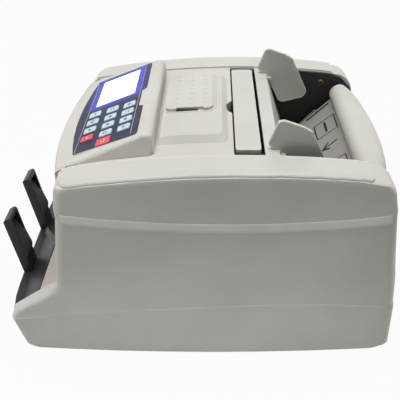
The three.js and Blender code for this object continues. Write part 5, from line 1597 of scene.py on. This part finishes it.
@dataclass
class Hopper:
    """The guides, the plate with its sign, the black liners and their screws."""

    palette: Palette
    ring_radius: float = 2.3 * MM
    ring_thickness: float = 0.55 * MM
    ring_out: float = 1.2 * MM
    ring_steps: int = 28
    ink: float = 0.05 * MM
    stroke: float = 1.3 * MM
    note_lean: float = 4 * MM
    band_inset: Point = (7 * MM, 3 * MM)
    band_wider: float = 1.8
    caption_inset: Point = (3 * MM, -1 * MM)
    caption_drop: float = 0.06
    notes: tuple[tuple[float, float, float, float], ...] = (
        (-53 * MM, -26 * MM, 0.56, 0.95), (24 * MM, 48 * MM, 0.58, 0.93)
    )
    arrow_x: float = -3 * MM
    arrow_tip: float = 0.6
    arrow_tail: float = 0.86
    arrow_barb: Point = (5 * MM, 0.71)
    arrow_wider: float = 1.5
    slot_edge: float = 5 * MM
    slot_half: float = 1.7 * MM
    slot_shares: Point = (0.46, 0.94)
    guide_edge: float = 0.9 * MM
    plate_edge: float = 0.5 * MM
    liner_edge: float = 0.3 * MM

    def build(self) -> None:
        """Dresses the hopper and adds the screw rings, the printed sign and the black painted shade in the
        slots.
        """
        for _, name in SIDES:
            soften(f"hopper_guide_{name}", self.palette.guide, self.guide_edge, steps=3)
        soften("hopper_plate", self.palette.plate, self.plate_edge)
        for side, name in SIDES:
            soften(f"hopper_liner_{name}", self.palette.liner, self.liner_edge)
            soften(f"liner_screw_{name}", self.palette.old_brass, 0)
            self._ring(side, name)
        self.face = Face("hopper_plate", UP)
        self.low, self.high = self.face.extent("hopper_plate")
        self._sign()
        self._slot_shadows()

    def _place(self, x: float, share: float) -> Point:
        """A point of the plate by its distance from the middle and its share of the slope."""
        return x, self.low.y + (self.high.y - self.low.y) * share

    def _ring(self, side: int, name: str) -> None:
        """Adds the brass ring round a liner screw.

        Args:
            side: 1 for the right liner, -1 for the left one.
            name: The side's name.
        """
        low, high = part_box(f"liner_screw_{name}")
        inner = low.x if side > 0 else high.x
        centre = Vector((inner + side * self.ring_out, (low.y + high.y) / 2, (low.z + high.z) / 2))
        path = [centre + self.ring_radius * (REAR * a + UP * b) for a, b in circle(self.ring_steps)]
        Shape().tube(path, self.ring_thickness).finish(
            f"screw_ring_{name}", self.palette.brass, "bright_steel"
        )

    def _stroke(self, shape: Shape, first: Point, second: Point, wider: float = 1) -> None:
        """Adds one printed stroke between two points of the plate.

        Args:
            shape: The shape that takes it.
            first: Where it starts.
            second: Where it ends.
            wider: Its width, in strokes.
        """
        start, end = Vector(first), Vector(second)
        along = (end - start).normalized() * self.stroke * wider / 2
        side = Vector((-along.y, along.x))
        corners = [start - along - side, end + along - side, end + along + side, start - along + side]
        level = self.high.z
        shape.plate([tuple(c) for c in corners], level - self.ink, level + self.ink, self.face.matrix)

    def _sign(self) -> None:
        """Prints a plain sign for laying notes in: two notes' outlines and an arrow down to the feed."""
        shape, place = Shape(), self._place
        for left, right, foot, top in self.notes:
            corners = [
                place(left, foot), place(right, foot),
                place(right + self.note_lean, top), place(left + self.note_lean, top),
            ]
            for first, second in zip(corners, corners[1:] + corners[:1]):
                self._stroke(shape, first, second)
            for (near, far), share, wider in (
                (self.band_inset, (foot + top) / 2, self.band_wider),
                (self.caption_inset, foot - self.caption_drop, 1),
            ):
                self._stroke(shape, place(left + near, share), place(right - far, share), wider)
        tip = place(self.arrow_x, self.arrow_tip)
        barb_x, barb_share = self.arrow_barb
        for x, share in ((0, self.arrow_tail), (-barb_x, barb_share), (barb_x, barb_share)):
            self._stroke(shape, tip, place(self.arrow_x + x, share), self.arrow_wider)
        shape.finish("hopper_sign", self.palette.ink, "casing_shade")

    def _slot_shadows(self) -> None:
        """Adds black strips in the plate's two long slots, as painted shade seen through them."""
        low, high = self.low, self.high
        for side, name in SIDES:
            middle = (high.x if side > 0 else low.x) - side * self.slot_edge
            near = (*self._place(middle - self.slot_half, self.slot_shares[0]), low.z + self.ink)
            far = (*self._place(middle + self.slot_half, self.slot_shares[1]), high.z + self.ink)
            Shape().block(Vector(near), Vector(far), self.face.matrix).finish(
                f"plate_slot_shadow_{name}", self.palette.gap, "black_plastic"
            )


@dataclass
class Stacker:
    """The pocket at the front: floor, lip, throat, arms with their webs, and fingered wheels."""

    palette: Palette
    web_depth: float = 3.6 * MM
    web_start: float = 0.22
    web_end: float = 0.8
    web_inset: float = 0.6 * MM
    web_sunk: float = 1.5 * MM
    web_foot_rise: float = 5
    web_tip_fall: float = 2.4
    web_steps: int = 14
    web_section: tuple[Point, ...] = (
        (-1.0, 0.0), (-1.0, 0.8), (-0.76, 1.0), (0.76, 1.0), (1.0, 0.8), (1.0, 0.0)
    )
    floor_edge: float = 0.4 * MM
    lip_edge: float = 0.6 * MM
    throat_edge: float = 0.4 * MM
    arm_edge: float = 0.6 * MM
    wheel_edge: float = 0.2 * MM

    def build(self) -> None:
        """Dresses the stacker and adds the webs."""
        soften("stacker_floor", self.palette.beige, self.floor_edge)
        soften("stacker_lip", self.palette.black, self.lip_edge)
        soften("stacker_throat", self.palette.black, self.throat_edge)
        for _, name in SIDES:
            soften(f"stacker_arm_{name}", self.palette.black, self.arm_edge, steps=3)
            soften(f"stacker_wheel_{name}", self.palette.wheel, self.wheel_edge)
            self._web(name)

    def _web(self, name: str) -> None:
        """Adds the web that stiffens the rear of one arm.

        Args:
            name: The arm's side.
        """
        node = f"stacker_arm_{name}"
        skin = Skin(node)
        low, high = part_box(node)
        middle = (low.x + high.x) / 2
        half = (high.x - low.x) / 2 - self.web_inset
        ends = []
        for share in (self.web_start, self.web_end):
            z = low.z + (high.z - low.z) * share
            found = skin.hit(Vector((middle, high.y + CLEAR, z)), -REAR)
            ends.append(Vector((middle, found[0].y if found else high.y, z)))
        rows = []
        for i in range(self.web_steps + 1):
            share = i / self.web_steps
            depth = self.web_depth * min(1.0, self.web_foot_rise * share, self.web_tip_fall * (1 - share))
            spine = ends[0].lerp(ends[1], share)
            row = []
            for across, turn in self.web_section:
                place = spine + RIGHT * half * across
                row.append((place + REAR * depth * turn, place - REAR * self.web_sunk))
            rows.append(row)
        # The web's finish is a lighter copy of the black plastic, painted as a lit facet.
        Shape().slab(rows).finish(f"arm_web_{name}", self.palette.web, "black_plastic", smooth=30)


@dataclass
class RearSide:
    """The hood, the back panel with its vents, and the power entry."""

    palette: Palette
    louvres: int = 9
    louvre_pitch: float = 7 * MM
    louvre_half: float = 26 * MM
    louvre_height: float = 2.6 * MM
    louvre_proud: float = 1.3 * MM
    louvre_least: float = 0.05 * MM
    louvre_border: float = 0.04 * MM
    louvre_sunk: float = 0.3 * MM
    louvre_steps: int = 16
    louvre_fade: int = 8
    louvre_crest: Point = (0.3, 0.95)
    louvre_slope: Point = (0.4, 0.5)
    mouth_half: float = 0.94
    mouth_height: float = 0.95
    mouth_proud: float = 0.12 * MM
    mouth_gap: float = 0.05 * MM
    vent_centre: Point = (-44 * MM, 50 * MM)
    screw_inset: float = 9 * MM
    screw_levels: Point = (24 * MM, 104 * MM)
    screw_steps: int = 28
    screw_section: tuple[Point, ...] = (
        (0, -0.3 * MM), (3.2 * MM, -0.3 * MM), (3.2 * MM, 0.5 * MM), (2.9 * MM, 1.0 * MM),
        (2.2 * MM, 1.45 * MM), (1.1 * MM, 1.65 * MM), (0, 1.7 * MM),
    )
    cross_half: float = 1.6 * MM
    cross_thick: float = 0.32 * MM
    cross_levels: Point = (1.2 * MM, 1.74 * MM)
    hood_edge: float = 0.6 * MM
    panel_edge: float = 0.4 * MM
    inlet_edge: float = 0.4 * MM
    rocker_edge: float = 0.5 * MM

    def build(self) -> None:
        """Dresses the rear and adds the louvres and the screws."""
        soften("rear_cover", self.palette.casing, self.hood_edge, steps=3)
        soften("back_panel", self.palette.rear, self.panel_edge)
        soften("power_inlet", self.palette.black, self.inlet_edge)
        soften("power_rocker", self.palette.black, self.rocker_edge, steps=3)
        self.skin = Skin("back_panel")
        for i in range(self.louvres):
            self._louvre(i)
        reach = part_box("back_panel")[1].x - self.screw_inset
        lower, upper = self.screw_levels
        places = ((-reach, lower), (reach, lower), (-reach, upper), (reach, upper), (0.0, upper))
        for i, (x, z) in enumerate(places):
            self._screw(i, x, z)

    def _surface(self, x: float, z: float) -> Vector:
        """The back panel's outside at a place seen from behind."""
        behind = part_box("back_panel")[1].y
        found = self.skin.hit(Vector((x, behind + CLEAR, z)), -REAR)
        return found[0] if found else Vector((x, behind, z))

    def _louvre(self, index: int) -> None:
        """Adds one pressed louvre, with a black strip in its mouth as painted shade.

        Args:
            index: Its place in the row, from the bottom.
        """
        x, z = self.vent_centre
        z += (index - (self.louvres - 1) / 2) * self.louvre_pitch
        half, crest, slope = self.louvre_height / 2, self.louvre_crest, self.louvre_slope
        rows, mouth = [], []
        for i in range(self.louvre_steps + 1):
            across = -1 + 2 * i / self.louvre_steps
            place = self._surface(x + across * self.louvre_half, z)
            fade = math.sqrt(max(0.0, 1 - abs(across) ** self.louvre_fade))
            proud = self.louvre_proud * fade + self.louvre_least
            section = (
                (-half, self.louvre_border), (-half, proud), (-half * crest[0], proud * crest[1]),
                (half * slope[0], proud * slope[1]), (half, self.louvre_border),
            )
            rows.append([self._pair(place, dz, dy) for dz, dy in section])
            place = self._surface(x + across * self.louvre_half * self.mouth_half, z)
            edges = (-self.louvre_height * self.mouth_height, -half - self.mouth_gap)
            mouth.append([self._pair(place, dz, self.mouth_proud) for dz in edges])
        number = f"{index + 1:02d}"
        Shape().slab(rows).finish(f"louvre_{number}", self.palette.rear, "casing_shade", smooth=40)
        # The mouth's black strip is painted shade.
        Shape().slab(mouth).finish(f"louvre_mouth_shadow_{number}", self.palette.gap, "black_plastic")

    def _pair(self, place: Vector, up: float, out: float) -> tuple[Vector, Vector]:
        """A point over the panel and the one sunk in it, at a height from a place on it."""
        return place + UP * up + REAR * out, place + UP * up - REAR * self.louvre_sunk

    def _screw(self, index: int, x: float, z: float) -> None:
        """Adds one pan-head screw with a black cross on it, as painted shade of a cross recess.

        Args:
            index: Its number.
            x: Where it stands across the panel.
            z: How high it stands.
        """
        centre = self._surface(x, z)
        Shape().turned(self.screw_section, centre, REAR, self.screw_steps).finish(
            f"panel_screw_{index + 1}", self.palette.steel, "bright_steel", smooth=40
        )
        # A black cross standing for the shade in a cross recess: painted shade.
        cross = Shape()
        low, high = self.cross_levels
        for half_x, half_z in ((self.cross_half, self.cross_thick), (self.cross_thick, self.cross_half)):
            cross.block(centre + Vector((-half_x, low, -half_z)), centre + Vector((half_x, high, half_z)))
        cross.finish(f"panel_screw_{index + 1}_cross", self.palette.gap, "black_plastic")


@dataclass
class Mechanism:
    """What turns inside, and the electrics."""

    palette: Palette
    plate_edge: float = 0.2 * MM
    roller_edge: float = 0.6 * MM
    shaft_edge: float = 0.2 * MM
    belt_edge: float = 0.2 * MM
    motor_edge: float = 0.8 * MM
    supply_edge: float = 0.6 * MM

    def build(self) -> None:
        """Dresses the inner nodes."""
        for _, name in SIDES:
            soften(f"frame_plate_{name}", self.palette.zinc, self.plate_edge)
            soften(f"feed_roller_{name}", self.palette.rubber, self.roller_edge)
        for node in ("feed_shaft", "stacker_shaft", "motor_shaft"):
            soften(node, self.palette.steel, self.shaft_edge)
        for node in ("pickup_roller", "drive_belt", "pickup_belt"):
            soften(node, self.palette.rubber, self.belt_edge)
        soften("drive_motor", self.palette.zinc, self.motor_edge)
        soften("power_supply", self.palette.zinc, self.supply_edge)
        soften("main_board", self.palette.board, 0)


@dataclass
class Studio:
    """The camera at the photographed angle, soft lamps and a pale floor."""

    palette: Palette
    camera_place: tuple[float, float, float] = (538.6 * MM, 13.15 * MM, 397.6 * MM)
    view: tuple[float, float, float] = (-0.857, -0.0157, -0.515)
    lens: float = 62.9
    sensor: float = 36.0
    clip: float = 10 * MM
    world: float = 0.08
    world_colour: Colour = (0.94, 1.0, 0.99)
    floor_half: float = 2.5
    aim: tuple[float, float, float] = (0, 0, 0.08)
    lamps: tuple[tuple[str, tuple[float, float, float], float, float], ...] = (
        ("overhead", (0.05, 0.0, 1.6), 1.2, 20.0),
        ("rear_fill", (-0.9, 1.2, 0.9), 1.0, 3.0),
        ("front_fill", (0.15, -1.6, 0.55), 1.0, 6.5),
    )
    card_gap: float = 100 * MM
    card_height: float = 30 * MM
    card_power: float = 0.039

    def set_camera(self) -> None:
        """Creates the camera and makes it the scene's own."""
        camera = bpy.data.objects.new("camera", bpy.data.cameras.new("camera"))
        camera.data.lens = self.lens
        camera.data.sensor_width = self.sensor
        camera.data.clip_start = self.clip
        camera.location = self.camera_place
        camera.rotation_euler = Vector(self.view).to_track_quat("-Z", "Y").to_euler()
        bpy.context.scene.collection.objects.link(camera)
        bpy.context.scene.camera = camera
        log.info("camera: %s", self.camera_place)

    def build(self) -> None:
        """Adds the floor, the lamps and the world's light."""
        mesh = bpy.data.meshes.new("studio_floor")
        half = self.floor_half
        corners = [(-half, -half, 0), (half, -half, 0), (half, half, 0), (-half, half, 0)]
        mesh.from_pydata(corners, [], [(0, 1, 2, 3)])
        mesh.materials.append(self.palette.paper)
        floor = bpy.data.objects.new("studio_floor", mesh)
        bpy.context.scene.collection.objects.link(floor)
        for name, place, size, power in self.lamps:
            self._lamp(name, Vector(place), Vector(self.aim), (size, size), power)
        self._cards()
        self._world()
        bpy.context.scene.view_settings.view_transform = "Standard"

    def _cards(self) -> None:
        """Stands a low glowing card by each side and behind, to lift the light on the skirts."""
        low, high = (Vector(corner) for corner in cad_bounds)
        middle, half = (low + high) / 2, (high - low) / 2
        for name, way, length in (("right", RIGHT, half.y), ("left", -RIGHT, half.y), ("rear", REAR, half.x)):
            place = middle + way * ((half.x if way.x else half.y) + self.card_gap)
            place.z = self.card_height / 2
            self._lamp(f"card_{name}", place, place - way, (2 * length, self.card_height), self.card_power)

    @staticmethod
    def _lamp(name: str, place: Vector, aim: Vector, size: Point, power: float) -> None:
        """Adds one area lamp that the camera doesn't see.

        Args:
            name: The lamp's name.
            place: Where it hangs.
            aim: What it points at.
            size: Its length and its height.
            power: Its power in watts.
        """
        light = bpy.data.lights.new(name, "AREA")
        light.size, light.size_y = size
        light.shape = "SQUARE" if size[0] == size[1] else "RECTANGLE"
        light.energy = power
        lamp = bpy.data.objects.new(name, light)
        lamp.location = place
        lamp.rotation_euler = (aim - place).to_track_quat("-Z", "Y").to_euler()
        lamp.visible_camera = False
        bpy.context.scene.collection.objects.link(lamp)
        log.info("lamp: %s", name)

    def _world(self) -> None:
        """Lights the scene evenly, with plain white where the camera or a reflection sees past the object."""
        world = bpy.data.worlds.new("studio")
        world.use_nodes = True
        bpy.context.scene.world = world
        graph = Graph(world.node_tree)
        soft = world.node_tree.nodes["Background"]
        graph.feed(soft.inputs["Color"], self.world_colour)
        soft.inputs["Strength"].default_value = self.world
        white = graph.add("ShaderNodeBackground")
        graph.feed(white.inputs["Color"], (1.0, 1.0, 1.0))
        path = graph.add("ShaderNodeLightPath").outputs
        seen = graph.math("MAXIMUM", path["Is Glossy Ray"], path["Is Transmission Ray"])
        seen = graph.math("MAXIMUM", path["Is Camera Ray"], seen)
        mixed = graph.add("ShaderNodeMixShader")
        for socket, source in zip(mixed.inputs, (seen, soft.outputs[0], white.outputs[0])):
            graph.feed(socket, source)
        graph.feed(world.node_tree.nodes["World Output"].inputs["Surface"], mixed.outputs[0])


def main() -> None:
    """Builds the studio's camera, every sub-assembly in order, and the studio."""
    logging.basicConfig(level=logging.INFO, format="%(name)s: %(message)s")
    palette = Palette()
    studio = Studio(palette)
    studio.set_camera()
    for assembly in (Casing, ControlPod, TopDeck, Hopper, Stacker, RearSide, Mechanism):
        assembly(palette).build()
        log.info("built %s", assembly.__name__)
    studio.build()


if __name__ == "__main__":
    main()
